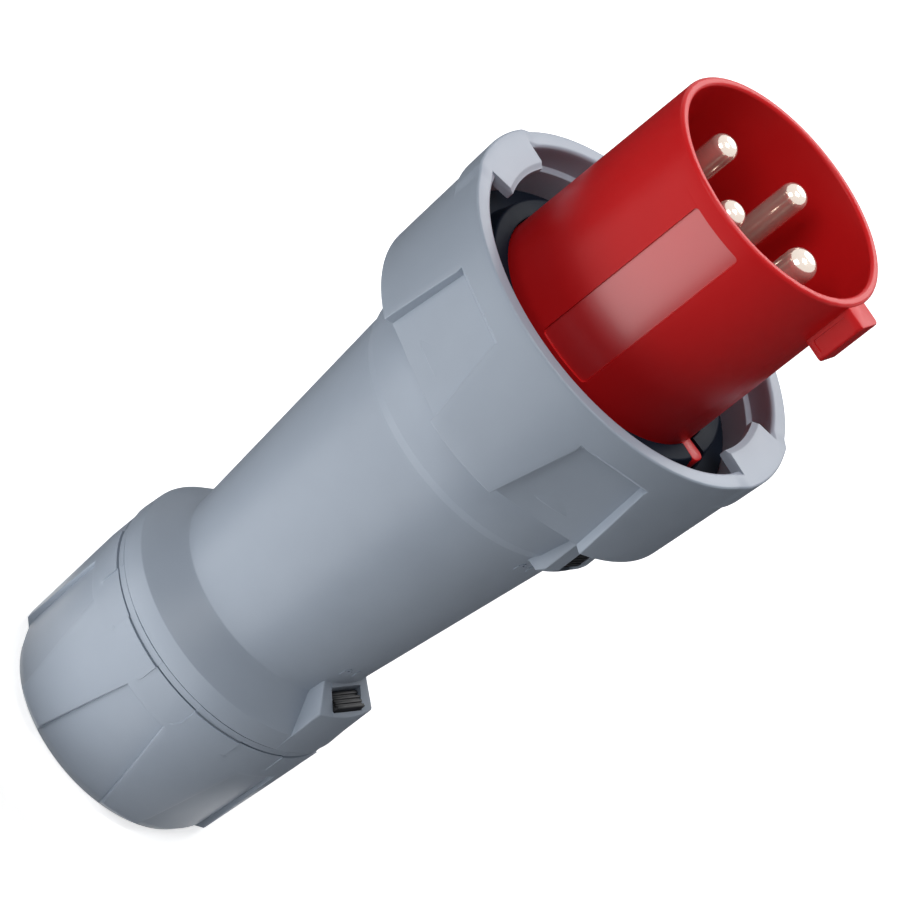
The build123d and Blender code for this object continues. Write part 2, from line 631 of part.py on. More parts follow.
for name, angle, circle, radius, tip, collar, terminal, length, wire, wire_depth in contacts:
    rear_z = collar_seat_z - length
    screw = pilot_screw_radius if name == "pilot_pin" else terminal_screw_radius
    with BuildPart() as pin:
        with BuildSketch(radial_plane(angle)) as pin_outline:
            with BuildLine():
                Polyline((circle + wire, rear_z), (circle + terminal, rear_z),
                         (circle + terminal, collar_seat_z), (circle + collar, collar_seat_z),
                         (circle + collar, spigot_end_z), (circle + radius + pin_shank_step, spigot_end_z),
                         (circle + radius + pin_shank_step, carrier_front_z),
                         (circle + radius, carrier_front_z), (circle + radius, tip), (circle, tip),
                         (circle, rear_z + wire_depth), (circle + wire, rear_z + wire_depth), close=True)
            make_face()
            fillet(pin_outline.vertices().sort_by_distance((circle + radius, tip))[0], radius - pin_tip_flat)
        centre = (circle * cos(radians(angle)), circle * sin(radians(angle)), 0)
        revolve(pin_outline.sketch, axis=Axis(centre, (0, 0, 1)))
        for screw_z in terminal_screw_heights(length):
            with BuildSketch(Plane(origin=(centre[0], centre[1], screw_z), x_dir=(0, 0, 1),
                                   z_dir=(cos(radians(angle)), sin(radians(angle)), 0))) as tapped_hole:
                Circle(screw + thread_gap)
            extrude(tapped_hole.sketch, amount=terminal + 2.0, mode=Mode.SUBTRACT)
    save(pin, name)
    with BuildPart() as screws:
        for screw_z in terminal_screw_heights(length):
            axis_dir = (cos(radians(angle)), sin(radians(angle)), 0)
            start = wire * 0.5
            reach = terminal + screw_proud - start
            foot = (centre[0] + axis_dir[0] * start, centre[1] + axis_dir[1] * start, screw_z)
            head = (foot[0] + axis_dir[0] * reach, foot[1] + axis_dir[1] * reach, screw_z)
            with BuildSketch(Plane(origin=foot, x_dir=(0, 0, 1), z_dir=axis_dir)) as shank:
                Circle(screw)
            extrude(shank.sketch, amount=reach)
            with BuildSketch(Plane(origin=head, x_dir=(0, 0, 1), z_dir=axis_dir)) as socket:
                RegularPolygon(screw * 0.62, 6)
            extrude(socket.sketch, amount=-screw, mode=Mode.SUBTRACT)
    save(screws, name.replace("_pin", "") + "_screws" if name != "pilot_pin" else "pilot_screw")


def contact_holes(low, high, extra_of):
    """Cut a round hole for each contact, from one height to another."""
    for name, angle, circle, radius, tip, collar, terminal, length, wire, wire_depth in contacts:
        hole_radius = extra_of(radius, collar, terminal) + fixed_gap
        with BuildSketch(Plane.XY.offset(low)) as hole:
            with Locations((circle * cos(radians(angle)), circle * sin(radians(angle)))):
                Circle(hole_radius)
        extrude(hole.sketch, amount=high - low, mode=Mode.SUBTRACT)


# Contact carrier: the insulating disc at the bottom of the shroud, with a base flange.
with BuildPart() as contact_carrier:
    turned([(0, spigot_end_z), (skirt_bore - moving_gap, spigot_end_z),
            (skirt_bore - moving_gap, spigot_end_z + carrier_flange_thickness),
            (shroud_bore - moving_gap, spigot_end_z + carrier_flange_thickness),
            (shroud_bore - moving_gap, carrier_front_z), (0, carrier_front_z)])
    contact_holes(spigot_end_z - 1.0, carrier_front_z + 1.0,
                  lambda radius, collar, terminal: radius + pin_shank_step)
    with BuildSketch(Plane.XY.offset(spigot_end_z)) as tapped_holes:
        with PolarLocations(carrier_screw_circle_radius, 4, start_angle=diagonals[0]):
            Circle(carrier_screw_radius + thread_gap)
    extrude(tapped_holes.sketch, amount=carrier_screw_depth + 1.0, mode=Mode.SUBTRACT)
    with BuildSketch(Plane.XY.offset(spigot_end_z)) as flange_holes:
        with PolarLocations((shroud_bore + skirt_bore) / 2, 4, start_angle=diagonals[0]):
            Circle(flange_screw_radius + fixed_gap)
    extrude(flange_holes.sketch, amount=carrier_flange_thickness, mode=Mode.SUBTRACT)
save(contact_carrier, "contact_carrier")

# Rear carrier: holds the contacts' collars from behind, with barriers between the terminals.
with BuildPart() as rear_carrier:
    turned(box_of(0, rear_carrier_radius, rear_carrier_z, spigot_end_z))
    with BuildSketch(Plane.XY.offset(rear_carrier_z - barrier_tube_length)) as tube:
        Circle(pilot_terminal_radius + fixed_gap + barrier_tube_wall)
    extrude(tube.sketch, amount=barrier_tube_length)
    for turn in diagonals:
        block(turn, pilot_terminal_radius + 1.0, barrier_reach, barrier_thickness,
              rear_carrier_z - barrier_length, rear_carrier_z)
    contact_holes(rear_carrier_z - barrier_length - 1.0, spigot_end_z,
                  lambda radius, collar, terminal: terminal)
    contact_holes(collar_seat_z, spigot_end_z, lambda radius, collar, terminal: collar)
    with BuildSketch(Plane.XY.offset(rear_carrier_z)) as clearance_holes:
        with PolarLocations(carrier_screw_circle_radius, 4, start_angle=diagonals[0]):
            Circle(carrier_screw_radius + fixed_gap)
    extrude(clearance_holes.sketch, amount=rear_carrier_height, mode=Mode.SUBTRACT)
save(rear_carrier, "rear_carrier")


def slotted_screws(circle, seat_z, shank_radius, shank_length, head_radius, head_height):
    """Four slotted screws on the diagonals, with their heads below their seat."""
    with BuildSketch(Plane.XY.offset(seat_z - head_height)) as heads:
        with PolarLocations(circle, 4, start_angle=diagonals[0]):
            Circle(head_radius)
    extrude(heads.sketch, amount=head_height)
    with BuildSketch(Plane.XY.offset(seat_z)) as shanks:
        with PolarLocations(circle, 4, start_angle=diagonals[0]):
            Circle(shank_radius)
    extrude(shanks.sketch, amount=shank_length)
    with BuildSketch(Plane.XY.offset(seat_z - head_height)) as slots:
        with PolarLocations(circle, 4, start_angle=diagonals[0]):
            Rectangle(2 * head_radius, shank_radius / 2)
    extrude(slots.sketch, amount=head_height / 2, mode=Mode.SUBTRACT)


# Carrier screws: four that hold the two carriers together.
with BuildPart() as carrier_screws:
    slotted_screws(carrier_screw_circle_radius, rear_carrier_z, carrier_screw_radius,
                   rear_carrier_height + carrier_screw_depth, carrier_screw_head, carrier_screw_head_height)
save(carrier_screws, "carrier_screws")

# Shroud screws: four that hold the carrier's flange to the shroud.
with BuildPart() as shroud_screws:
    slotted_screws((shroud_bore + skirt_bore) / 2, spigot_end_z, flange_screw_radius,
                   carrier_flange_thickness + flange_screw_depth - 0.3, flange_screw_head,
                   flange_screw_head_height)
save(shroud_screws, "shroud_screws")
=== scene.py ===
import math

import bmesh
import bpy
import numpy as np
from mathutils import Matrix, Vector


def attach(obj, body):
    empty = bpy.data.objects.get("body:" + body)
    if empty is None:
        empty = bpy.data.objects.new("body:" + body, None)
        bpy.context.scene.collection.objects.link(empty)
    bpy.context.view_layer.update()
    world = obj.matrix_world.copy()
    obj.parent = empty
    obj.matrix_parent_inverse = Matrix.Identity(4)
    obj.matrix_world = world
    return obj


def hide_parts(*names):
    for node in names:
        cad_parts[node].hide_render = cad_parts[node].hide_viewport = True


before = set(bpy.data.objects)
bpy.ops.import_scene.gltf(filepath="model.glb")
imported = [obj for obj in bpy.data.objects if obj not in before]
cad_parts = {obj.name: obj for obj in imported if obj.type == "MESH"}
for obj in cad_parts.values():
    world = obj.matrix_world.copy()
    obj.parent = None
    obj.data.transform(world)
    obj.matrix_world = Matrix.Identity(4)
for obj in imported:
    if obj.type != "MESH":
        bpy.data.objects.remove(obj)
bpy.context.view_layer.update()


# Camera: the plug stands on its gland, so the photograph's tilt is the camera's own roll. A long
# lens about 1.9 m away, placed and turned by a fit to the circles of the sleeve, ring and cap.
camera_data = bpy.data.cameras.new("camera")
camera_data.sensor_width = 36.0
camera_data.lens = 216.49
camera_data.clip_start = 0.05
camera = bpy.data.objects.new("camera", camera_data)
bpy.context.scene.collection.objects.link(camera)
camera_place = Vector((0.283261, -1.558687, 1.070867))
camera_right = Vector((0.544711, 0.490825, 0.679986))
camera_up = Vector((-0.823932, 0.162113, 0.543006))
camera_back = camera_right.cross(camera_up)
camera_axes = Matrix((camera_right, camera_up, camera_back)).transposed()
camera.matrix_world = Matrix.Translation(camera_place) @ camera_axes.to_4x4()
bpy.context.scene.camera = camera


# Studio: a white paper sweep under the plug, a low white card at the front left that gives the
# grey plastic its soft band, black card on the other side that keeps the edges dark, and three
# soft boxes. Only mirror rays see the black card, so it takes no light from the plug.
def linear(hex_colour):
    """An sRGB hex colour as linear RGBA: each channel over 12.92 below 0.04045, and above it the
    channel plus 0.055, over 1.055, to the power of 2.4."""
    channels = [int(hex_colour[i:i + 2], 16) / 255 for i in (1, 3, 5)]
    levels = [c / 12.92 if c <= 0.04045 else ((c + 0.055) / 1.055) ** 2.4 for c in channels]
    return (*levels, 1.0)


def add(tree, kind, links=None, settings=None, **sockets):
    """Add one node to a tree: settings are its properties, links lead from an output to the named
    socket, and the rest are the sockets' values."""
    new = tree.nodes.new(kind)
    for name, value in (settings or {}).items():
        setattr(new, name, value)
    for name, value in sockets.items():
        new.inputs[name.replace("_", " ")].default_value = value
    for name, output in (links or {}).items():
        tree.links.new(output, new.inputs[name])
    return new


def seen_directly(tree):
    """1 for camera, glossy and transmission rays, which see the white background, 0 for others."""
    rays = add(tree, "ShaderNodeLightPath")
    either = {"operation": "MAXIMUM"}
    seen = add(tree, "ShaderNodeMath",
               {0: rays.outputs["Is Camera Ray"], 1: rays.outputs["Is Glossy Ray"]}, either)
    return add(tree, "ShaderNodeMath",
               {0: seen.outputs[0], 1: rays.outputs["Is Transmission Ray"]}, either)


def empty_material(name):
    """A new material and its node tree, with nothing in it yet."""
    material = bpy.data.materials.new(name)
    material.use_nodes = True
    material.node_tree.nodes.clear()
    return material, material.node_tree


def flat_stage(name, points, material):
    """A flat stage piece from its corners in metres, facing up."""
    mesh = bpy.data.meshes.new(name)
    mesh.from_pydata([tuple(p) for p in points], [], [tuple(range(len(points)))])
    mesh.materials.append(material)
    piece = bpy.data.objects.new(name, mesh)
    bpy.context.scene.collection.objects.link(piece)
    return piece


def sector(name, start, end, far, height, material):
    """A card on the floor, between two bearings in degrees and from just outside the plug to a
    radius in metres: points along its inner arc, and back along its outer one. The camera doesn't
    see it and it throws no shadow."""
    turns = np.radians(np.linspace(start, end, 40))
    edge = [(plug_clear * math.cos(t), plug_clear * math.sin(t), height) for t in turns]
    edge += [(far * math.cos(t), far * math.sin(t), height) for t in turns[::-1]]
    piece = flat_stage(name, edge, material)
    piece.visible_camera = False
    piece.visible_shadow = False
    return piece


# The background is white to the eye and in reflections, and lights the plug only faintly.
bpy.context.scene.view_settings.view_transform = "Standard"
world = bpy.data.worlds.new("white studio")
bpy.context.scene.world = world
world.use_nodes = True
tree = world.node_tree
tree.nodes.clear()
seen = seen_directly(tree)
ambient = add(tree, "ShaderNodeBackground", Color=linear("#F4F7FF"), Strength=0.1)
white = add(tree, "ShaderNodeBackground", Color=linear("#FFFFFF"), Strength=1.0)
mixed = add(tree, "ShaderNodeMixShader",
            {0: seen.outputs[0], 1: ambient.outputs[0], 2: white.outputs[0]})
add(tree, "ShaderNodeOutputWorld", {"Surface": mixed.outputs[0]})

# Paper: matt and nearly white. It glows a little where it is looked at, so it shows as white there
# and still keeps the plug's shadow.
paper_glow, half_sweep = 0.7, 6
paper, tree = empty_material("white paper sweep")
seen = seen_directly(tree)
matt = add(tree, "ShaderNodeBsdfDiffuse", Color=linear("#E8E8E8"))
lift = add(tree, "ShaderNodeEmission", {"Strength": seen.outputs[0]},
           Color=(paper_glow, paper_glow, paper_glow, 1.0))
both = add(tree, "ShaderNodeAddShader", {0: matt.outputs[0], 1: lift.outputs[0]})
add(tree, "ShaderNodeOutputMaterial", {"Surface": both.outputs[0]})
flat_stage("floor", [(x * half_sweep, y * half_sweep, 0)
                     for x, y in ((-1, -1), (1, -1), (1, 1), (-1, 1))], paper)

# The white card shines upwards only. The black one is felt, and lies a millimetre below it.
plug_clear, card_level = 0.075, 2.3
lit_card, tree = empty_material("lit white card")
side = add(tree, "ShaderNodeNewGeometry")
glow = add(tree, "ShaderNodeEmission", Color=linear("#FFFFFF"), Strength=card_level)
one_sided = add(tree, "ShaderNodeMixShader", {0: side.outputs["Backfacing"], 1: glow.outputs[0]})
add(tree, "ShaderNodeOutputMaterial", {"Surface": one_sided.outputs[0]})
sector("low card", start=-67, end=-150, far=0.62, height=0.003, material=lit_card)

black_card, tree = empty_material("black card")
felt = add(tree, "ShaderNodeBsdfDiffuse", Color=linear("#303032"))
add(tree, "ShaderNodeOutputMaterial", {"Surface": felt.outputs[0]})
flag = sector("black card", start=205, end=-60, far=2.0, height=0.002, material=black_card)
flag.visible_diffuse = False

# Soft boxes: name, bearing and rise in degrees, width in metres and watts. All face the plug.
plug_middle, lamp_distance = Vector((0, 0, 0.17)), 1.6
for name, bearing, rise, width, watts in (("overhead soft box", -50, 87, 0.6, 12.0),
                                          ("back soft box", 95, 40, 0.9, 11.0),
                                          ("front soft box", -110, 35, 0.8, 8.0)):
    lamp_data = bpy.data.lights.new(name, "AREA")
    lamp_data.size = width
    lamp_data.energy = watts
    lamp = bpy.data.objects.new(name, lamp_data)
    bpy.context.scene.collection.objects.link(lamp)
    bearing, rise = math.radians(bearing), math.radians(rise)
    outward = Vector((math.cos(bearing) * math.cos(rise), math.sin(bearing) * math.cos(rise),
                      math.sin(rise)))
    facing = outward.to_track_quat("Z", "Y").to_matrix().to_4x4()
    lamp.matrix_world = Matrix.Translation(outward * lamp_distance + plug_middle) @ facing


# Handle: one grey moulding with the gland's thread on its neck, a flange, the long taper, the
# collar, the spigot that the bayonet ring turns on, and two bosses with pockets for the locks.
# Glass-filled polyamide, moulded in a spark-eroded tool, gives it a satin skin with a fine grain.
def moulded(name, colour, cloud_colour, roughness, grain=0.35, grain_height=0.004, specular=0.5,
            coat=0.0, coat_roughness=0.1):
    """A moulded plastic or rubber: its colour drifts to a second one in clouds 30 mm wide, where
    more glass or pigment lies at the surface, and its roughness by 0.05 over 7 mm. A noise of the
    grain's size in mm raises the skin by its height in mm. The real grain is about 0.1 mm and
    would not show, so it is drawn coarser. A coat is a skin polished in the tool, and its high
    index gives it as strong a gleam as the real one has."""
    cloud_size, gloss_size, uneven = 30, 7, 0.05
    material, tree = empty_material(name)
    place = add(tree, "ShaderNodeTexCoord")
    millimetres = add(tree, "ShaderNodeVectorMath", {0: place.outputs["Object"]},
                      {"operation": "SCALE"}, Scale=1000.0)
    clouds = add(tree, "ShaderNodeTexNoise", {"Vector": millimetres.outputs[0]},
                 Scale=1 / cloud_size, Detail=3.0)
    shade = add(tree, "ShaderNodeMix", {"Factor": clouds.outputs[0]}, {"data_type": "RGBA"})
    shade.inputs[6].default_value = linear(colour)
    shade.inputs[7].default_value = linear(cloud_colour)
    gloss = add(tree, "ShaderNodeTexNoise", {"Vector": millimetres.outputs[0]},
                Scale=1 / gloss_size, Detail=4.0)
    satin = add(tree, "ShaderNodeMapRange", {"Value": gloss.outputs[0]},
                To_Min=roughness - uneven, To_Max=roughness + uneven)
    skin_grain = add(tree, "ShaderNodeTexNoise", {"Vector": millimetres.outputs[0]},
                     Scale=1 / grain, Detail=2.0)
    bump = add(tree, "ShaderNodeBump", {"Height": skin_grain.outputs[0]},
               Distance=grain_height / 1000, Strength=1.0)
    surface = add(tree, "ShaderNodeBsdfPrincipled",
                  {"Base Color": shade.outputs[2], "Roughness": satin.outputs[0],
                   "Normal": bump.outputs[0]},
                  IOR=1.53, Specular_IOR_Level=specular,
                  Coat_Weight=coat, Coat_Roughness=coat_roughness, Coat_IOR=1.8)
    add(tree, "ShaderNodeOutputMaterial", {"Surface": surface.outputs[0]})
    return material


def section(corners, radii, steps=5, spans=()):
    """Closed outlines (columns, corners, 2) with each corner rounded and long spans divided.

    A round starts and ends a tangent's length from its corner, which is the radius over the
    tangent of half the corner's angle, and at most 0.45 of a side. Between them it mixes start,
    corner and end by the weights (1-s)^2, 2s(1-s)w and s^2, over their sum, where s runs from 0
    to 1 and w is the sine of half the angle. A radius of 0 keeps the corner. spans says how many
    even points follow a corner.
    """
    rounds, count = [], corners.shape[1]
    for number, radius in enumerate(radii):
        corner = corners[:, number]
        if radius == 0:
            rounds.append(corner[:, None])
            continue
        before = corners[:, number - 1] - corner
        after = corners[:, (number + 1) % count] - corner
        long_before = np.linalg.norm(before, axis=-1, keepdims=True)
        long_after = np.linalg.norm(after, axis=-1, keepdims=True)
        before, after = before / long_before, after / long_after
        half = np.arccos(np.clip((before * after).sum(-1, keepdims=True), -1, 1)) / 2
        reach = np.maximum(radius / np.maximum(np.tan(half), 1e-3), 0.02)
        reach = np.minimum(reach, 0.45 * np.minimum(long_before, long_after))
        a, b, c = (v[:, None] for v in (corner + before * reach, corner, corner + after * reach))
        w, s = np.sin(half)[:, None], np.linspace(0, 1, steps).reshape(1, -1, 1)
        rounds.append(((1 - s) ** 2 * a + 2 * s * (1 - s) * w * b + s ** 2 * c)
                      / ((1 - s) ** 2 + 2 * s * (1 - s) * w + s ** 2))
    parts = []
    for number, points in enumerate(rounds):
        parts.append(points)
        if number in spans:
            start, stop = points[:, -1:], rounds[(number + 1) % count][:, :1]
            t = (np.arange(spans[number]) + 1).reshape(1, -1, 1) / (spans[number] + 1)
            parts.append(start * (1 - t) + stop * t)
    return np.concatenate(parts, 1)


def skin(name, grid, material, capped=False):
    """A closed mesh over a grid of points (columns, rows, xyz) in millimetres: each face joins two
    neighbours of a column to the same two of the next. Rows close on themselves, and columns close
    round the object, or end in flat faces where capped. Edges that bend further than the crease
    angle stay sharp."""
    crease_degrees = 40
    columns, rows = grid.shape[:2]
    a, b = np.meshgrid(np.arange(columns - 1 if capped else columns), np.arange(rows),
                       indexing="ij")
    a_next, b_next = (a + 1) % columns, (b + 1) % rows
    faces = np.stack([a * rows + b, a_next * rows + b,
                      a_next * rows + b_next, a * rows + b_next], -1)
    faces = faces.reshape(-1, 4).tolist()
    if capped:
        faces += [list(range(rows))[::-1], list(range((columns - 1) * rows, columns * rows))]
    mesh = bpy.data.meshes.new(name)
    mesh.from_pydata((grid.reshape(-1, 3) / 1000).tolist(), [], faces)
    shape = bmesh.new()
    shape.from_mesh(mesh)
    bmesh.ops.recalc_face_normals(shape, faces=shape.faces)
    shape.to_mesh(mesh)
    shape.free()
    mesh.polygons.foreach_set("use_smooth", np.ones(len(mesh.polygons), bool))
    mesh.set_sharp_from_angle(angle=math.radians(crease_degrees))
    mesh.materials.append(material)
    piece = bpy.data.objects.new(name, mesh)
    bpy.context.scene.collection.objects.link(piece)
    return piece


def dress(piece, body, slot, *replaced):
    """Ride a piece on a CAD body, and let it stand for CAD nodes. The slot, its finish, is not
    used.
    """
    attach(piece, body)
    if replaced:
        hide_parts(*replaced)


def line(start, end, count):
    """Evenly spaced (radius, height) points strictly between two others."""
    t = (np.arange(count) + 1)[:, None] / (count + 1)
    return [tuple(p) for p in np.array(start) * (1 - t) + np.array(end) * t]


def on_taper(height):
    """The taper's point (radius, height) at a height: its radius rises evenly from foot to top."""
    return (taper_foot[0] + taper_slope * (height - taper_foot[1]), height)


housing_grey = moulded("glass-filled polyamide, grey, moulded", "#9AA4B1", "#909AA7", 0.4,
                       specular=0.32)

# The handle's outlines are (radius, height) in mm, and its columns are counted in degrees, or in
# mm across, from the plane that the locks slide in.
lock_degrees = -9.5
lock_turn = math.radians(lock_degrees)
neck_radius, neck_end, neck_top = 44.5, 20.0, 64.6
thread_pitch, thread_depth, thread_flank, thread_fade = 4.0, 1.1, 1.76, 2.5
thread_low, thread_high = neck_end + 0.8, neck_top - 5
flange_radius, flange_front = 51.9, (51.3, 73.0)
taper_foot, taper_top = (40.9, 86.2), (51.4, 188.3)
taper_slope = (taper_top[0] - taper_foot[0]) / (taper_top[1] - taper_foot[1])
collar_foot, collar_top = (52.8, 192.0), (56.4, 211.5)
spigot_radius, spigot_bore, spigot_end = 54.0, 50.0, 229.0
retainer_radius, retainer_low, retainer_high = 52.5, 219.3, 222.4
jaw_bore, seat_radius, seat_height = 36.0, 31.0, 50.0

# The rear pocket has a slot for its lock's tongue in the flange's face.
slot_inner, slot_outer, slot_end = 46.1, 49.8, 72.2
rear_face = {"plain": [(slot_inner, neck_top)]
             + line((slot_inner, neck_top), (slot_outer, neck_top), 2) + [(slot_outer, neck_top)],
             "slot": [(slot_inner, neck_top), (slot_inner, slot_end), (slot_outer, slot_end),
                      (slot_outer, neck_top)]}

# A form is the outline of the bare handle, of a boss on it, or of the pocket in the boss. A boss
# sinks to its sides, where the loss says how far each of its corners goes for 1 mm of it.
rear_back, rear_brow, rear_foot = (51.65, 72.6), (51.7, 87.5), on_taper(93.58)
rear_pocket_low, rear_mouth, rear_toe = 72.5, (50.0, 88.53), (42.5, 93.07)
rear_form = {"plain": [flange_front] + line(flange_front, taper_foot, 5) + [taper_foot],
             "boss": [rear_back, rear_brow, rear_mouth, (49.9, 88.6), (42.6, 93.0), rear_toe,
                      rear_foot],
             "pocket": [rear_back, rear_brow, rear_mouth, (rear_mouth[0], rear_pocket_low),
                        (rear_toe[0], rear_pocket_low), rear_toe, rear_foot]}
rear_loss = np.array([(0, 0), (-1, -0.55), (-0.52, -0.85), (-0.52, -0.85), (-0.52, -0.85),
                      (-0.52, -0.85), (-taper_slope, -1.0)])
boss_radius, boss_end = 57.8, 209.0
front_rise = [on_taper(186.6), (55.8, 187.5), (56.5, 188.9)]
front_pocket_floor, front_pocket_low, front_pocket_high = 53.1, 188.9, 206.8
front_fall = [(boss_radius, front_pocket_high), (boss_radius, boss_end), (55.94, boss_end)]
front_form = {"plain": [taper_top, collar_foot] + line(collar_foot, collar_top, 6),
              "boss": front_rise + [(boss_radius, 191.5), (boss_radius, 206.7)] + front_fall,
              "pocket": front_rise + [(front_pocket_floor, front_pocket_low),
                                      (front_pocket_floor, front_pocket_high)] + front_fall}
front_loss = np.array([(0, 0), (-1, 0.4), (-1, 0.2), (-1, 0), (-1, 0), (-1, 0), (-1, -0.4),
                       (0, -0.4)])

# Inside goes from the collar over the spigot and back through the bore. Each corner has its round.
inside = [collar_top, (spigot_radius, collar_top[1]), (spigot_radius, retainer_low),
          (retainer_radius, retainer_low), (retainer_radius, retainer_high),
          (spigot_radius, retainer_high), (spigot_radius, spigot_end), (spigot_bore, spigot_end),
          (spigot_bore, 202.5), (48.1, taper_top[1]), (37.6, taper_foot[1]), (37.6, 62.0),
          (seat_radius, 54.0), (seat_radius, seat_height), (jaw_bore, seat_height),
          (jaw_bore, neck_end), (neck_radius, neck_end)]
handle_radii = ([0.4, 0, 0, 0, 0, 0.4] + [1.0, 0.9, 0, 0, 0, 0, 1.2]
                + [0.7, 0.9, 0, 0, 0, 0, 0.6, 0] + [0.5, 0, 0, 0, 0, 0, 0.4, 0.4] + [0] * 8 + [0.6])
slot_walls, rear_walls, front_walls = slice(1, 5), slice(8, 12), slice(16, 18)
last_of_rear, last_of_inside = 12, 37


def handle_column(turn, across, rear_cut="plain", rear="plain", front="plain",
                  rear_down=0.0, front_down=0.0):
    """One closed section of the handle: its corners, its turn from the locks in degrees, and its
    place across. Without a turn it lies beside the locks' plane, where a round surface is at the
    root of its radius squared less the place across squared, and a pocket's floor is flat."""
    rear_corners = np.array(rear_form[rear]) + rear_down * rear_loss
    front_corners = np.array(front_form[front]) + front_down * front_loss
    corners = np.concatenate([[(neck_radius, neck_top)], rear_face[rear_cut],
                              [(flange_radius, neck_top)], rear_corners, front_corners, inside])
    if turn is None:
        flat = np.zeros(len(corners), bool)
        flat[slot_walls] = rear_cut == "slot"
        flat[rear_walls] = rear == "pocket"
        flat[front_walls] = front == "pocket"
        on_circle = np.sqrt(corners[:, 0] ** 2 - across ** 2)
        corners[:, 0] = np.where(flat, corners[:, 0], on_circle)
    return corners, turn, across


def half_handle(pocket_edge, boss_places, boss_turn, front_fade):
    """Columns from the locks' plane to the handle's other side: the slot and both pockets, the
    rear pocket alone, both bosses, the front boss's side, the rear one's, and the bare handle."""
    half = [handle_column(None, across, "slot", "pocket", "pocket")
            for across in (0.0, 1.4, 2.8, 4.29)]
    half += [handle_column(None, across, "plain", "pocket", "pocket") for across in (4.31, 5.29)]
    half += [handle_column(None, across, "plain", "pocket", "boss") for across in boss_places]
    half += [handle_column(None, pocket_edge, "plain", "boss", "boss"),
             handle_column(boss_turn, 0, "plain", "boss", "boss")]
    half += [handle_column(turn, 0, "plain", "boss", "boss", front_down=down)
             for turn, down in front_fade]
    half += [handle_column(turn, 0, "plain", "boss", "plain", rear_down=down)
             for turn, down in ((12.52, 0.0), (14.5, 0.0), (16.36, 0.0), (16.8, 0.107),
                                (17.12, 0.379), (17.25, 0.8))]
    return half + [handle_column(turn, 0) for turn in (17.27, *np.linspace(18.5, 180, 62))]


far_half = half_handle(7.51, (5.31, 6.4, 7.49), 11.0,
                       ((11.7, 0.0), (12.1, 0.12), (12.38, 0.38), (12.5, 0.8)))
near_half = half_handle(8.91, (5.31, 7.1, 8.89), 12.12, ((12.2, 0.12), (12.38, 0.38), (12.5, 0.8)))
mirrored = [(c, None if t is None else -t, -a) for c, t, a in near_half[1:-1]]
columns = mirrored[::-1] + far_half
corners = np.stack([c for c, t, a in columns])
turns = np.array([0.0 if t is None else math.radians(t) for c, t, a in columns])[:, None]
turns = turns + lock_turn
across = np.array([0.0 if t is not None else a for c, t, a in columns])[:, None]
outline = section(corners, handle_radii, 4, {last_of_rear: 40, last_of_inside: 150})
x, z = outline[..., 0], outline[..., 1]
grid = np.stack([x * np.cos(turns) - across * np.sin(turns),
                 x * np.sin(turns) + across * np.cos(turns), z], -1)

# The thread is a wave of height over pitch less the turn, with flat crests and roots, and fades
# out at both ends.
radius = np.hypot(grid[..., 0], grid[..., 1])
turned = np.arctan2(grid[..., 1], grid[..., 0]) / (2 * np.pi)
saw = np.abs(2 * ((z / thread_pitch - turned) % 1) - 1)
wave = np.clip(thread_flank * saw - 0.5, 0, 1)
on_neck = (np.abs(radius - neck_radius) < 0.2) & (z < neck_top - 3)
fade = np.clip((z - thread_low) / thread_fade, 0, 1)
fade = fade * np.clip((thread_high - z) / thread_fade, 0, 1)
cut = np.where(on_neck, thread_depth * wave * fade, 0)
grid[..., :2] *= ((radius - cut) / radius)[..., None]
handle = skin("handle", grid, housing_grey)
dress(handle, "housing", "housing_grey", "handle")


# Gland cap: the large grey nut that screws onto the neck. Six trapezoid grips run out at its
# bevelled rear, and at its front it has a fine groove, eight shallow flats that run out rearwards,
# and the lock's notches in its face.
cap_length, cap_rear_radius, cap_front_radius, front_rim = 64.2, 48.6, 52.2, 51.5
cable_hole, cap_floor, bevel_radius, bevel_height = 24.0, 4.0, 44.2, 4.6
notch_inner, notch_outer, notch_depth, cap_bore = 45.8, 50.1, 2.6, 44.8
groove_low, groove_high, groove_depth = 61.0, 61.7, 0.9
grip_length, grip_centre, grip_front_turn, grip_rear_turn = 47.2, 42.5, 10.6, 21.5
grip_front_depth, grip_rear_depth, grip_radius = 1.2, 2.5, 50
blend_low, blend_high, window_start, window_floor = 48.5, 54.0, 3.75, 51.35

# A cut's edge is rounded by a quarter circle: how far out, and how far down, each step of it lies.
edge_round, no_limit = 0.4, 99.0
edge_steps = np.radians([0, 30, 60, 90])
edge_out, edge_down = edge_round * (1 - np.sin(edge_steps)), edge_round * (1 - np.cos(edge_steps))


def cap_wall(height):
    """The cap's outer radius, rising evenly from its rear to its front."""
    return cap_rear_radius + (cap_front_radius - cap_rear_radius) * np.asarray(height) / cap_length


def revolved(radii, heights, turns):
    """Grid points (columns, rows, xyz) from radii, heights and turns, given as (rows, columns):
    x is the radius times the turn's cosine, and y the radius times its sine."""
    return np.stack([radii * np.cos(turns), radii * np.sin(turns), heights], -1).transpose(1, 0, 2)


grip_ends = [46.98, 47.06, 47.14, 47.22, 47.4, 47.6]
grip_end_shares = [1, 0.85, 0.45, 0.15, 0.03, 0]
stations = [*range(6, 43, 4), 45, 46.6, *grip_ends, *np.linspace(blend_low, blend_high, 9),
            54.8, 55.15, 55.25, 55.5, 57, 59, 60.8, groove_low, groove_low + 0.02,
            groove_high - 0.02, groove_high, 62.2, 63.0]
cap_corners = ([(26.0, 0.0), (bevel_radius, 0.0)]
               + [(float(cap_wall(h)), h) for h in (bevel_height, *stations)]
               + [(r, cap_length) for r in (cap_front_radius, notch_outer, notch_outer - 0.01,
                                            notch_inner + 0.01, notch_inner, cap_bore)]
               + [(cap_bore, h) for h in (60.0, 54.0, 52.6, 51.2, 49.8, 48.5, 40.0, 20.0,
                                          cap_floor)]
               + [(cable_hole, cap_floor), (cable_hole, 2.0)])
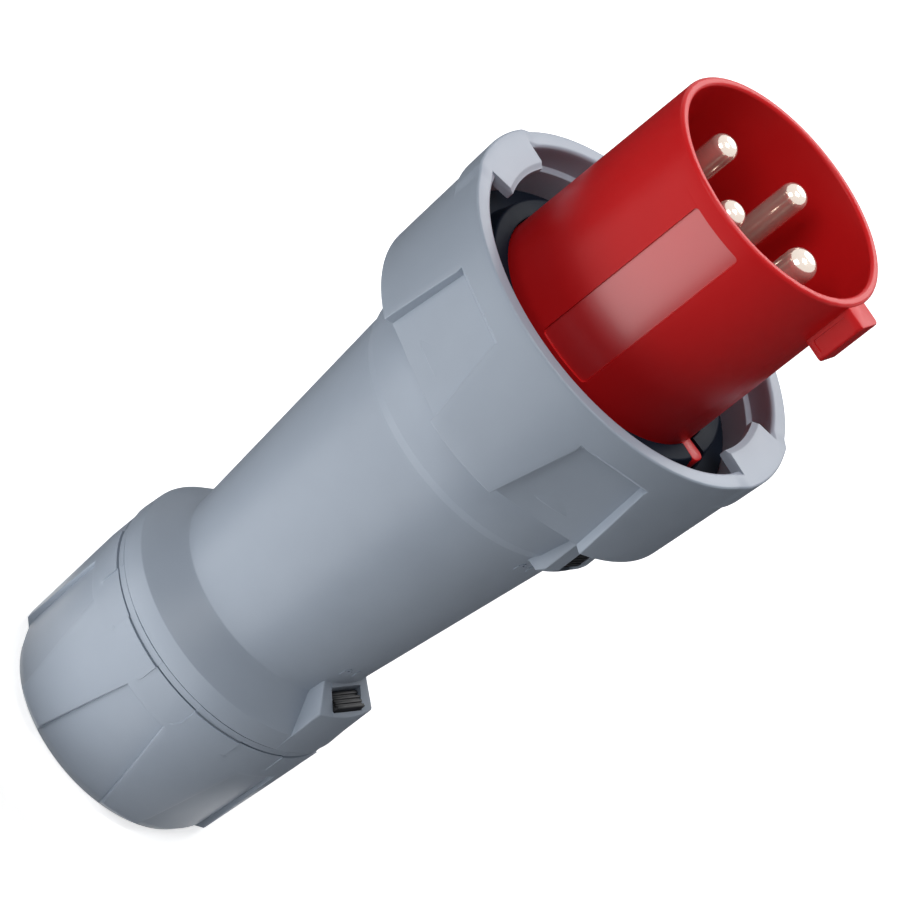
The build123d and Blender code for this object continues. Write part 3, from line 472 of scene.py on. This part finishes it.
cap_radii = [0.5, 0.8, 0.8] + [0] * len(stations) + [0.5, 0, 0, 0, 0, 0.3] + [0] * 9 + [0.4, 0.5]
radius, height = section(np.array([cap_corners]), cap_radii, 5)[0].T
outer = radius > cap_wall(height) - 1.6
in_groove = (outer & (height > groove_low + 0.01) & (height < groove_high - 0.01))[:, None]
at_rim = outer & (height > groove_high - 0.01)
radius = np.where(at_rim, np.minimum(radius, front_rim), radius)

# The grips repeat six times and spread to the rear. Their columns turn into those of the eight
# flats, which stay put, by a smooth step between the two blend heights.
grip_half = np.interp(height, [0, grip_length], [grip_rear_turn, grip_front_turn])[:, None]
edge_turns = grip_half + np.degrees(np.append(edge_out, -0.02) / grip_radius)
outside = 30 - (30 - edge_turns[:, :1]) * np.linspace(1, 0, 9)[1:]
grip_period = np.concatenate([-outside[:, -2::-1], -edge_turns,
                              grip_half * np.linspace(-0.92, 0.92, 11),
                              edge_turns[:, ::-1], outside], 1)
cut_limit = np.concatenate([np.zeros(7), edge_down, np.full(13, no_limit), edge_down[::-1],
                            np.zeros(8)])
grip_turns = np.concatenate([grip_centre + 60 * number + grip_period for number in range(6)], 1)

# Each eighth has a flat over its first half, and a notch in the face under each half.
marks = np.cumsum([0, 4.0, 10.5, 8.0, 4.0, 10.5, 8.0])
window_period, notched, windowed = [], [], []
for number, count in enumerate((1, 4, 3, 1, 4, 2)):
    start, end = marks[number], marks[number + 1]
    span = [start + 0.03, *np.linspace(start, end, count + 2)[1:-1], end - 0.03]
    window_period += span
    notched += [number in (1, 4)] * len(span)
    windowed += [number < 3] * len(span)
window_turns = window_start + np.array(window_period)[None] + 45 * np.arange(8)[:, None]
window_turns = window_turns.ravel()
shift = np.searchsorted(window_turns, grip_turns[0, 0])
window_turns = np.append(window_turns[shift:], window_turns[:shift] + 360)
notched, windowed = (np.roll(np.tile(flags, 8), -shift) for flags in (notched, windowed))
blend = np.clip((height - blend_low) / (blend_high - blend_low), 0, 1)
blend = (blend ** 2 * (3 - 2 * blend))[:, None]
turns = np.radians(grip_turns * (1 - blend) + window_turns * blend)

floor = cap_wall(height) - np.interp(height, [0, grip_length], [grip_rear_depth, grip_front_depth])
reach = np.interp(height, grip_ends, grip_end_shares)
grip_cut = np.where(outer, np.clip(radius - floor, 0, None) * reach, 0)[:, None]
grip_cut = np.minimum(grip_cut, np.tile(cut_limit, 6))
in_window = (outer & (height > blend_low - 0.1))[:, None] * windowed
window_cut = np.clip(radius - window_floor, 0, None)[:, None] * in_window
radii = radius[:, None] - grip_cut - window_cut - groove_depth * in_groove
face = ((height > cap_length - 1e-6) & (radius < notch_outer - 0.005)
        & (radius > notch_inner + 0.005))
heights = height[:, None] - notch_depth * face[:, None] * notched
gland_cap = skin("gland_cap", revolved(radii, heights, turns), housing_grey)
dress(gland_cap, "gland_cap", "housing_grey", "gland_cap")


# Locks: two sliders in the handle's bosses, moulded in black polyamide with ribs for the thumb.
# The rear one drops a tongue into the cap's notches, and the front one's pawl holds the sleeve's
# skirt. They are duller than the housing, so only the ribs' edges catch light.
lock_black = moulded("polyamide, black, moulded", "#0C0E12", "#12151A", 0.45, specular=0.2)
lock_round, latch_half = 0.35, 4.0
rib_pitch, rib_groove, rib_depth, rib_round = 1.7, 0.8, 0.6, 0.15


def bar(name, profiles, radii, turn, material):
    """A bar across a radial plane: its outline (radius, height) at places across its width. The
    outline there is drawn in by the given distance along its own normals, which rounds the ends."""
    slices = []
    for corners, across, drawn_in in profiles:
        outline = section(np.array([corners]), radii, 4)[0]
        along = np.roll(outline, -1, 0) - np.roll(outline, 1, 0)
        along /= np.maximum(np.linalg.norm(along, axis=1, keepdims=True), 1e-9)
        x, z = (outline - drawn_in * np.stack([along[:, 1], -along[:, 0]], 1)).T
        slices.append(np.stack([x * math.cos(turn) - across * math.sin(turn),
                                x * math.sin(turn) + across * math.cos(turn), z], 1))
    return skin(name, np.array(slices), material, capped=True)


def rounded_ends(low, high, slider, with_latch):
    """Places across a lock: the slider's outline, drawn in at both ends, and in the middle the
    outline with its tongue or pawl."""
    small = 0.3 * lock_round
    return [(slider, low, lock_round), (slider, low + small, small),
            (slider, low + lock_round, 0.0), (slider, -latch_half - 0.02, 0.0),
            (with_latch, -latch_half, 0.0), (with_latch, latch_half, 0.0),
            (slider, latch_half + 0.02, 0.0), (slider, high - lock_round, 0.0),
            (slider, high - small, small), (slider, high, lock_round)]


def ribs(start, step, count, first):
    """Corners of the grooves along a bar's face, which runs from start in the direction of step:
    each lies a pitch after the one before it, and goes in at right angles to the face."""
    start, step = np.array(start), np.array(step)
    inward = np.array([-step[1], step[0]])
    points = []
    for number in range(count):
        near = start + step * (first + rib_pitch * number)
        points += [near, near + inward * rib_depth,
                   near + step * rib_groove + inward * rib_depth, near + step * rib_groove]
    return [tuple(p) for p in points]


gland_in, gland_out, gland_low, gland_high = 42.8, 49.7, 76.1, 90.8
tongue_in, tongue_out, tongue_end = 46.4, 49.5, 65.2
gland_slider = ([(gland_out, gland_low), (gland_out, gland_high)]
                + ribs((gland_out, gland_high), (-1, 0), count=3, first=1.2)
                + [(gland_in, gland_high), (gland_in, gland_low)])
tongue = [(tongue_in, gland_low), (tongue_in, tongue_end), (tongue_out, tongue_end),
          (tongue_out, gland_low)]
no_tongue = [(r, gland_low) for r in (tongue_in, 47.2, 48.6, tongue_out)]
gland_lock = bar("gland_lock",
                 rounded_ends(-8.6, 7.2, gland_slider + no_tongue, gland_slider + tongue),
                 [0.5, 0.6] + [rib_round] * 12 + [0.6, 0.4] + [0] * 4, lock_turn, lock_black)
dress(gland_lock, "gland_lock", "lock_black", "gland_lock")

housing_in, housing_out, housing_low, housing_high = 53.4, 57.3, 192.5, 206.5
pawl_end, pawl_low = 47.6, 202.5
housing_slider = ([(housing_in, housing_low), (housing_out, housing_low)]
                  + ribs((housing_out, housing_low), (0, 1), count=5, first=1.7)
                  + [(housing_out, housing_high)])
pawl = [(pawl_end, housing_high), (pawl_end, pawl_low), (housing_in, pawl_low)]
no_pawl = [(housing_in, h) for h in (housing_high, 204.5, pawl_low)]
housing_lock = bar("housing_lock",
                   rounded_ends(-5.0, 5.0, housing_slider + no_pawl, housing_slider + pawl),
                   [0.4, 0.6] + [rib_round] * 20 + [0.6] + [0] * 3, lock_turn, lock_black)
dress(housing_lock, "housing_lock", "lock_black", "housing_lock")


# Signs: a padlock and an arrow on the taper beside each lock, moulded with the handle and of its
# colour. They stand so little proud that only their edges show.
sign_rise, sign_root = 0.35, -0.4


def raised_sign(name, outline, height):
    """A prism on the taper, from an outline (across, along) in mm: across, over the taper's radius
    there, is the turn from the locks, and along is added to the height."""
    z = height + outline[:, 1]
    surface = on_taper(z)[0]
    turns = lock_turn + outline[:, 0] / surface
    layers = [np.column_stack([(surface + rise) * np.cos(turns), (surface + rise) * np.sin(turns),
                               z]) for rise in (sign_root, sign_rise)]
    sign = skin(name, np.stack(layers), housing_grey, capped=True)
    dress(sign, "housing", "housing_grey")


bow = np.linspace(0, math.pi, 13)
padlock_bow = [(1.3 * math.cos(t), 1.0 + 1.5 * math.sin(t)) for t in bow]
padlock_bow += [(0.75 * math.cos(t), 1.0 + 0.95 * math.sin(t)) for t in bow[::-1]]
padlock_body = [(-1.8, -1.6), (1.8, -1.6), (1.8, 1.05), (-1.8, 1.05)]
arrow = [(-0.3, -1.8), (0.3, -1.8), (0.3, 0.5), (1.2, 0.5), (0.0, 2.3), (-1.2, 0.5), (-0.3, 0.5)]
padlock_across, arrow_across = -9.5, -4.5
for lock, height in (("gland", 101.0), ("housing", 181.5)):
    for part, outline, across in (("padlock_body", padlock_body, padlock_across),
                                  ("padlock_bow", padlock_bow, padlock_across),
                                  ("arrow", arrow, arrow_across)):
        raised_sign(lock + "_" + part, np.array(outline) + (across, 0.0), height)


# Bayonet ring: the grey turning ring. Four of its six places carry flat trapezoid grips that run
# out at the rear, and the other two a raised pad outside with a lug inside the mouth, which draws
# the plug in.
ring_rear, ring_front, ring_mouth, ring_bore, ring_neck = 211.8, 261.8, 64.4, 62.4, 54.1
ring_wall_low, ring_rear_radius, ring_front_radius = 215.2, 68.0, 70.6
ring_centre, grip_rear_half, grip_front_half = 12.6, 18.2, 12.2
pad_turn, pad_height, pad_rise, pad_side = 17.5, 1.0, 0.6, 2.6
lug_turn, lug_radius, lug_under, lug_depth = 14.7, 56.0, 258.6, 8


def ring_wall(height):
    """The ring's outer radius, rising evenly from its rear edge to its front."""
    rise = (ring_front_radius - ring_rear_radius) * (np.asarray(height) - ring_wall_low)
    return ring_rear_radius + rise / (ring_front - ring_wall_low)


stations = [*np.arange(218, 241, 2.3), 242.0, 242.8, 243.4, *np.arange(243.8, 253.1, 0.2),
            254, 256, 258]
outer_corners = [(ring_neck, ring_rear), (57.2, ring_rear), (61.5, ring_rear + 0.1),
                 (67.8, ring_rear + 0.4)] + [(float(ring_wall(h)), h) for h in stations]
front_corners = [(ring_front_radius, ring_front), (67.6, ring_front)]
mouth = {"plain": front_corners + [(ring_mouth, ring_front), (ring_mouth, 258.8),
                                   (ring_mouth, 258.4)],
         "lug": front_corners + [(lug_radius, ring_front), (lug_radius, lug_under),
                                 (ring_mouth, lug_under - 0.05)]}
inner_corners = [(ring_mouth, 252.0), (ring_bore, 251.2), (ring_bore, 219.0), (ring_neck, 219.0)]
ring_radii = ([0.3, 0.3, 0, 0.7] + [0] * len(stations)
              + [0.8, 0, 1.5, 0.4, 0, 0.3, 0.5, 0.8, 0.3])
plain, lugged = (section(np.array([outer_corners + mouth[kind] + inner_corners]), ring_radii, 5)[0]
                 for kind in ("plain", "lug"))
base, height = plain.T

# Outside is all from the rear face's edge over the stations to the middle of the mouth's round.
rear_points, front_points = 16, 9
outer = (np.arange(len(base)) < rear_points + len(stations) + front_points) & (base > 58)

# A grip's floor is flat. Its top corners lie where its drafted side, a line that leans by the
# draft, meets the ring's circle: the root of a quadratic in the rise over the floor.
floor_heights, draft, grip_radius, lug_side_radius = [208.8, 247.2, 251.4], 0.15, 69, 60
floor = np.interp(height, floor_heights, [60.7, 65.1, ring_front_radius])
half = np.interp(height, floor_heights, [grip_rear_half, grip_front_half, grip_front_half])
side = floor * np.tan(np.radians(half))
lean = floor + draft * side
root = np.maximum(lean ** 2 - (1 + draft ** 2) * (floor ** 2 + side ** 2 - base ** 2), 0)
rise = np.clip((np.sqrt(root) - lean) / (1 + draft ** 2), 0, None)
top_turn = np.where(outer, np.degrees(np.arctan2(side + draft * rise, floor + rise)), half)
top_turn, half = top_turn[:, None], half[:, None]
edge_turns = np.concatenate([top_turn + np.degrees(edge_out[:3] / grip_radius), top_turn,
                             np.minimum(half, top_turn - 0.02)], 1)
outside = 30 - (30 - edge_turns[:, :1]) * np.linspace(1, 0, 10)[1:]
grip_period = np.concatenate([-outside[:, -2::-1], -edge_turns, half * np.linspace(-0.93, 0.93, 13),
                              edge_turns[:, ::-1], outside], 1)
grip_limit = np.concatenate([np.zeros(8), edge_down, np.full(15, no_limit), edge_down[::-1],
                             np.zeros(9)])

# A pad's sides rise by a smooth step, and a lug's have a small round, given as shares of 1.
pad_fade = np.linspace(0.0, 1.0, 9)
pad_edges = pad_turn - pad_side * (1 - 2 * pad_fade)
lug_edges = lug_turn - np.degrees(edge_out / lug_side_radius)
pad_half = np.concatenate([np.linspace(0, 12.5, 6)[1:], lug_edges, [lug_turn + 0.02], pad_edges,
                           np.linspace(pad_turn + pad_side, 30, 6)[1:]])
pad_lift = np.concatenate([np.ones(10), 1 - pad_fade ** 2 * (3 - 2 * pad_fade), np.zeros(5)])
lug_in = np.concatenate([np.ones(5), 1 - edge_down / lug_depth, np.zeros(15)])
pad_period = np.concatenate([-pad_half[-2::-1], [0.0], pad_half])
pad_lift, lug_in = (np.concatenate([share[-2::-1], [1.0], share]) for share in (pad_lift, lug_in))
turn_parts, cut_parts, lift_parts, lug_parts = [], [], [], []
for number in range(6):
    padded = number % 3 == 0
    period = np.repeat(pad_period[None], len(base), 0) if padded else grip_period
    none = np.zeros(period.shape[1])
    turn_parts.append(ring_centre + 60 * number + period)
    cut_parts.append(none if padded else grip_limit)
    lift_parts.append(pad_lift if padded else none)
    lug_parts.append(lug_in if padded else none)
degrees = np.concatenate(turn_parts, 1)
turns = np.radians(degrees)
place_turn = ring_centre + 60 * np.round((degrees - ring_centre) / 60)
flat_floor = floor[:, None] / np.cos(turns - np.radians(place_turn))
cut = np.clip(base[:, None] - flat_floor, 0, None) * outer[:, None]
cut = np.minimum(cut, np.concatenate(cut_parts))
lift, lug = np.concatenate(lift_parts)[None], np.concatenate(lug_parts)[None]
radii = base[:, None] * (1 - lug) + lugged[:, :1] * lug - cut
heights = height[:, None] * (1 - lug) + lugged[:, 1:] * lug
pad_ramp = np.interp(height, [248.6, 248.8, 249.4, 249.6], [0, 0.08, 0.92, 1]) * outer
radii = radii + pad_height * pad_ramp[:, None] * lift
heights = heights + pad_rise * lift * np.clip((heights - 258.7) / 3.1, 0, 1)
bayonet_ring = skin("bayonet_ring", revolved(radii, heights, turns), housing_grey)
dress(bayonet_ring, "bayonet_ring", "housing_grey", "bayonet_ring")


# Sleeve: the red tube around the pins, moulded in polyamide in one piece with its base flange, the
# skirt that plugs into the handle, the key at its rim and the small tab under it. It is satin, and
# its long sunk panel, which is polished in the tool, takes a broad soft gleam.
sleeve_red = moulded("polyamide, red, moulded", "#CE1A1D", "#C4171A", 0.34,
                     grain=0.3, grain_height=0.002, specular=0.16)
panel_red = moulded("polyamide, red, polished", "#CA181C", "#C01518", 0.3,
                    grain=0.6, grain_height=0.0, specular=0.3, coat=1.0, coat_roughness=0.28)
sleeve_radius, sleeve_bore, sleeve_floor, rim = 45.0, 41.5, 233.0, 330.0
skirt_bore, skirt_radius, skirt_end, pawl_notch = 47.2, 49.7, 203.5, 206.8
seal_groove, seal_low, seal_high = 48.34, 214.4, 216.6
base_radius, base_low, base_high, foot_radius = 61.9, 229.0, 238.0, 45.2
panel_turn, panel_half, panel_low, panel_high = -82.2, 13.9, 252.6, 323.5
panel_round, panel_depth = 1.6, 0.8

# Rows are close together at the panel's ends, where its corners are rounded.
end_rows = np.array([0.0, 0.02, 0.1, 0.25, 0.5, 0.9, panel_round])
wall = [247.4, 250.4, panel_low - 0.35, panel_low - 0.12, *(panel_low + end_rows),
        *np.linspace(panel_low, panel_high, 28)[1:-1], *(panel_high - end_rows[::-1]),
        panel_high + 0.12, panel_high + 0.35]
sleeve_corners = [(skirt_bore, skirt_end), (skirt_radius, skirt_end), (skirt_radius, seal_low),
                  (seal_groove, seal_low), (seal_groove, seal_high), (skirt_radius, seal_high),
                  (skirt_radius, base_low), (base_radius, base_low), (base_radius, base_high),
                  (foot_radius, base_high), (foot_radius, 247.0)]
sleeve_corners += [(sleeve_radius, h) for h in (*wall, rim)]
sleeve_corners += [(sleeve_bore, h) for h in (rim, 300.0, 270.0, sleeve_floor)]
sleeve_corners += [(skirt_bore, sleeve_floor)]
sleeve_radii = [0] * 7 + [0.3, 0.5, 0.4, 0.25] + [0] * len(wall) + [1.3, 1.3, 0, 0, 0, 0]
radius, height = section(np.array([sleeve_corners]), sleeve_radii, 6)[0].T

# The panel's half width is less near its ends, by a quarter circle of the corner's radius. It has
# 3 columns for its lip on each side, and 15 from edge to edge.
inward = np.clip(np.minimum(height - panel_low, panel_high - height), 0, panel_round)
corner = panel_round - np.sqrt(panel_round ** 2 - (panel_round - inward) ** 2)
half = panel_half - np.degrees(corner / sleeve_radius)[:, None]
near_lip, far_lip = np.degrees(np.array([0.12, 0.35]) / sleeve_radius)
lips = np.array([far_lip, near_lip, 0.02])
notch_half = np.degrees(4.3 / 48.4)
past_panel = [-66.0, -64.0, -58.0, -50.0, -40.0, -30.0, -22.0, lock_degrees - notch_half - 0.03]
at_notch = [lock_degrees + t for t in (-notch_half, -2.5, 0.0, 2.5, notch_half)]
far_side = [lock_degrees + notch_half + 0.03, *np.arange(0, 258, 4.0)]
elsewhere = np.array(past_panel + at_notch + far_side)[None]
turns = np.radians(np.concatenate(
    [panel_turn - half - lips, panel_turn + half * np.linspace(-1, 1, 15),
     panel_turn + half + lips[::-1], np.repeat(elsewhere, len(height), 0)], 1))
panel_first, panel_last, notch_first = 3, 17, 21 + len(past_panel)
column = np.arange(turns.shape[1])
in_panel = (column >= panel_first) & (column <= panel_last)
in_notch = (column >= notch_first) & (column < notch_first + len(at_notch))
rows = ((height >= panel_low + 0.01) & (height <= panel_high - 0.01)
        & (np.abs(radius - sleeve_radius) < 0.1))
skirt_edge = height[:, None] < skirt_end + 0.1
heights = np.where(in_notch & skirt_edge, pawl_notch, height[:, None])
radii = radius[:, None] - panel_depth * rows[:, None] * in_panel
sleeve = skin("shroud", revolved(radii, heights, turns), sleeve_red)
sleeve.data.materials.append(panel_red)
face_column, face_row = np.divmod(np.arange(radii.size), len(height))
polished = ((face_column >= panel_first) & (face_column < panel_last)
            & np.isin(face_row, np.flatnonzero(rows)[:-1]))
sleeve.data.polygons.foreach_set("material_index", polished.astype(np.int32))
dress(sleeve, "housing", "sleeve_red", "shroud")


# Key: the block at the rim that fits one place in the socket, moulded with the sleeve. Both its
# outer edges are round, and a shallow panel is sunk in one side.
def block(name, outlines, heights, material):
    """A block that stands along the axis: one rounded outline (x, y) at each height, closed by
    flat ends."""
    layers = [np.column_stack([outline, np.full(len(outline), h)])
              for outline, h in zip(outlines, heights)]
    return skin(name, np.stack(layers), material, capped=True)


key_low, key_high, key_half, key_foot, key_top, key_round = 309.5, 329.0, 6.0, 42.5, 52.8, 1.6
side_low, side_high, side_in, side_out = 311.75, 325.75, 46.1, 50.7
side_round, side_depth = 0.8, 0.4
side_rows = np.array([0.0, 0.15, 0.4, side_round])
low_end = [key_low, key_low + 0.12, key_low + 0.4]
high_end = [key_high - 0.6, key_high - 0.18, key_high]
key_heights = [*low_end, side_low - 0.01, *(side_low + side_rows), 315.0, 318.75, 322.5,
               *(side_high - side_rows[::-1]), side_high + 0.01, *high_end]
drawn = np.interp(key_heights, low_end + high_end, [0.4, 0.12, 0, 0, 0.18, 0.6])
outlines = []
for h, inset in zip(key_heights, drawn):
    end = np.clip(min(h - side_low, side_high - h), 0, side_round)
    bend = side_round - math.sqrt(side_round ** 2 - (side_round - end) ** 2)
    low, high, sink = side_in + bend, side_out - bend, side_depth * (side_low <= h <= side_high)
    places = [low - 0.02, *np.linspace(low, high, 5), high + 0.02]
    depths = [0, sink, sink, sink, sink, sink, 0]
    corners = [(key_foot, -key_half + inset)]
    corners += [(x, -key_half + inset + depth) for x, depth in zip(places, depths)]
    corners += [(key_top - inset, -key_half + inset), (key_top - inset, key_half - inset),
                (key_foot, key_half - inset)]
    outlines.append(section(np.array([corners]), [0] * 8 + [key_round, key_round, 0], 7)[0])
key = block("shroud_key", outlines, key_heights, sleeve_red)
dress(key, "housing", "sleeve_red")


# Tab: a small rib at the sleeve's foot in line with the key, moulded with the sleeve too. It shows
# through a gap in the seal.
tab_degrees, tab_half_degrees, tab_foot, tab_top, tab_round = 3.0, 4.0, 44.0, 53.0, 2.6
tab_low, tab_high, tab_middle = 243.4, 249.0, 49
tab_turn, tab_half = math.radians(tab_degrees), math.radians(tab_half_degrees)
tab_heights = [tab_low, tab_low + 0.1, tab_low + 0.3, tab_high - 0.3, tab_high - 0.1, tab_high]
outlines = []
for inset in (0.3, 0.1, 0.0, 0.0, 0.1, 0.3):
    turns = tab_turn + (tab_half - inset / tab_middle) * np.array([-1, -1, 1, 1])
    reach = np.array([tab_foot, tab_top - inset, tab_top - inset, tab_foot])
    corners = np.stack([reach * np.cos(turns), reach * np.sin(turns)], 1)
    outlines.append(section(corners[None], [0, tab_round, tab_round, 0], 8)[0])
tab = block("shroud_tab", outlines, tab_heights, sleeve_red)
dress(tab, "housing", "sleeve_red")


# Front seal: a dark rubber ring that lies on the sleeve's flange, with a collar round the sleeve's
# foot, which is open where the tab stands. Moulded rubber is matt and gives back hardly any light.
seal_rubber = moulded("rubber, dark blue-grey, moulded", "#141B27", "#101722", 0.55,
                      grain=0.5, grain_height=0.003, specular=0.05)
seal_radius, seal_bore, seal_top, collar_end = 61.3, 45.4, 241.6, 249.6
ledge = [(seal_radius, base_high), (seal_radius, seal_top), (53.6, seal_top)]
collar = ledge + [(51.6, collar_end), (seal_bore, collar_end), (seal_bore, base_high)]
cut_collar = ledge + [(52.6, seal_top), (seal_bore, seal_top), (seal_bore, base_high)]
gap = [-5.0, -2.5, 0.0, 2.5, 5.0]
seal_degrees = tab_degrees + np.array([*gap, 5.03, *np.arange(8, 353, 3.0), 354.97])
corners = np.array([cut_collar] * len(gap) + [collar] * (len(seal_degrees) - len(gap)))
radii, heights = section(corners, [0.3, 0.8, 0.6, 1.0, 0.4, 0], 5).T
front_seal = skin("front_seal", revolved(radii, heights, np.radians(seal_degrees)[None]),
                  seal_rubber)
dress(front_seal, "housing", "seal_rubber", "front_seal")


# Contacts: turned brass pins with a bright nickel plate, held by their collars between two dark
# insulating carriers, and zinc-plated screws. The pins' tips are domed, and the brass under the
# plate leaves a faint yellow warmth.
def plated(name, colour, roughness, wave, wear, turned=0.0, metallic=1.0):
    """A plated metal: its roughness rises by the wear where a noise of the given wave in mm is
    high. Turned pieces keep the tool's rings as a bump of the given height in mm. Real rings are
    some hundredths of a mm apart and would not show, so they are drawn 0.25 mm apart."""
    ring_spacing, wear_from, wear_to = 0.25, 0.35, 0.75
    material, tree = empty_material(name)
    place = add(tree, "ShaderNodeTexCoord")
    millimetres = add(tree, "ShaderNodeVectorMath", {0: place.outputs["Object"]},
                      {"operation": "SCALE"}, Scale=1000.0)
    marks = add(tree, "ShaderNodeTexNoise", {"Vector": millimetres.outputs[0]},
                Scale=1 / wave, Detail=4.0)
    gloss = add(tree, "ShaderNodeMapRange", {"Value": marks.outputs[0]}, From_Min=wear_from,
                From_Max=wear_to, To_Min=roughness, To_Max=roughness + wear)
    surface = add(tree, "ShaderNodeBsdfPrincipled", {"Roughness": gloss.outputs[0]},
                  Base_Color=linear(colour), Metallic=metallic)
    if turned:
        along = add(tree, "ShaderNodeVectorMath", {0: millimetres.outputs[0]},
                    {"operation": "MULTIPLY"})
        along.inputs[1].default_value = (0.0, 0.0, 1.0)
        rings = add(tree, "ShaderNodeTexNoise", {"Vector": along.outputs[0]},
                    Scale=1 / ring_spacing, Detail=2.0)
        bump = add(tree, "ShaderNodeBump", {"Height": rings.outputs[0]},
                   Distance=turned / 1000, Strength=1.0)
        tree.links.new(bump.outputs[0], surface.inputs["Normal"])
    add(tree, "ShaderNodeOutputMaterial", {"Surface": surface.outputs[0]})
    return material


def finish(material, *names):
    """Give CAD nodes a material in place of their own."""
    for name in names:
        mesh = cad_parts[name].data
        mesh.materials.clear()
        mesh.materials.append(material)


# Nickel isn't all mirror here: at 0.7 it keeps a pale body of its own inside the dark red sleeve.
nickel = plated("nickel plate on turned brass", "#F6E9DC", 0.1, wave=3.0, wear=0.05,
                turned=0.004, metallic=0.7)
finish(nickel, "phase_pin_1", "phase_pin_2", "phase_pin_3", "earth_pin", "pilot_pin")

# Zinc goes dull and a little blotchy, and the carriers' plastic is dark, satin and plain.
steel = plated("zinc plate on steel, dull", "#B9BCBF", 0.28, wave=1.5, wear=0.15)
finish(steel, "phase_1_screws", "phase_2_screws", "phase_3_screws", "earth_screws", "pilot_screw",
       "carrier_screws", "shroud_screws")
carrier_dark = moulded("polyamide, anthracite, moulded", "#2A2C31", "#313338", 0.45)
finish(carrier_dark, "contact_carrier", "rear_carrier")


# Gland: the rubber sleeve round the cable, the fingered jaws and the coned ring that closes them,
# and two hidden rings, the O-ring at the skirt and the split ring that keeps the bayonet ring on.
# The hard parts are satin dark polyamide, the soft ones matt black rubber with a coarser skin.
jaw_dark = moulded("polyamide, dark grey, moulded", "#3A3D43", "#34373C", 0.5)
finish(jaw_dark, "clamp_jaws", "thrust_ring", "ring_retainer")
sleeve_rubber = moulded("rubber, black, moulded", "#1A1C20", "#212328", 0.62,
                        grain=0.6, grain_height=0.006)
finish(sleeve_rubber, "gland_seal", "housing_seal")
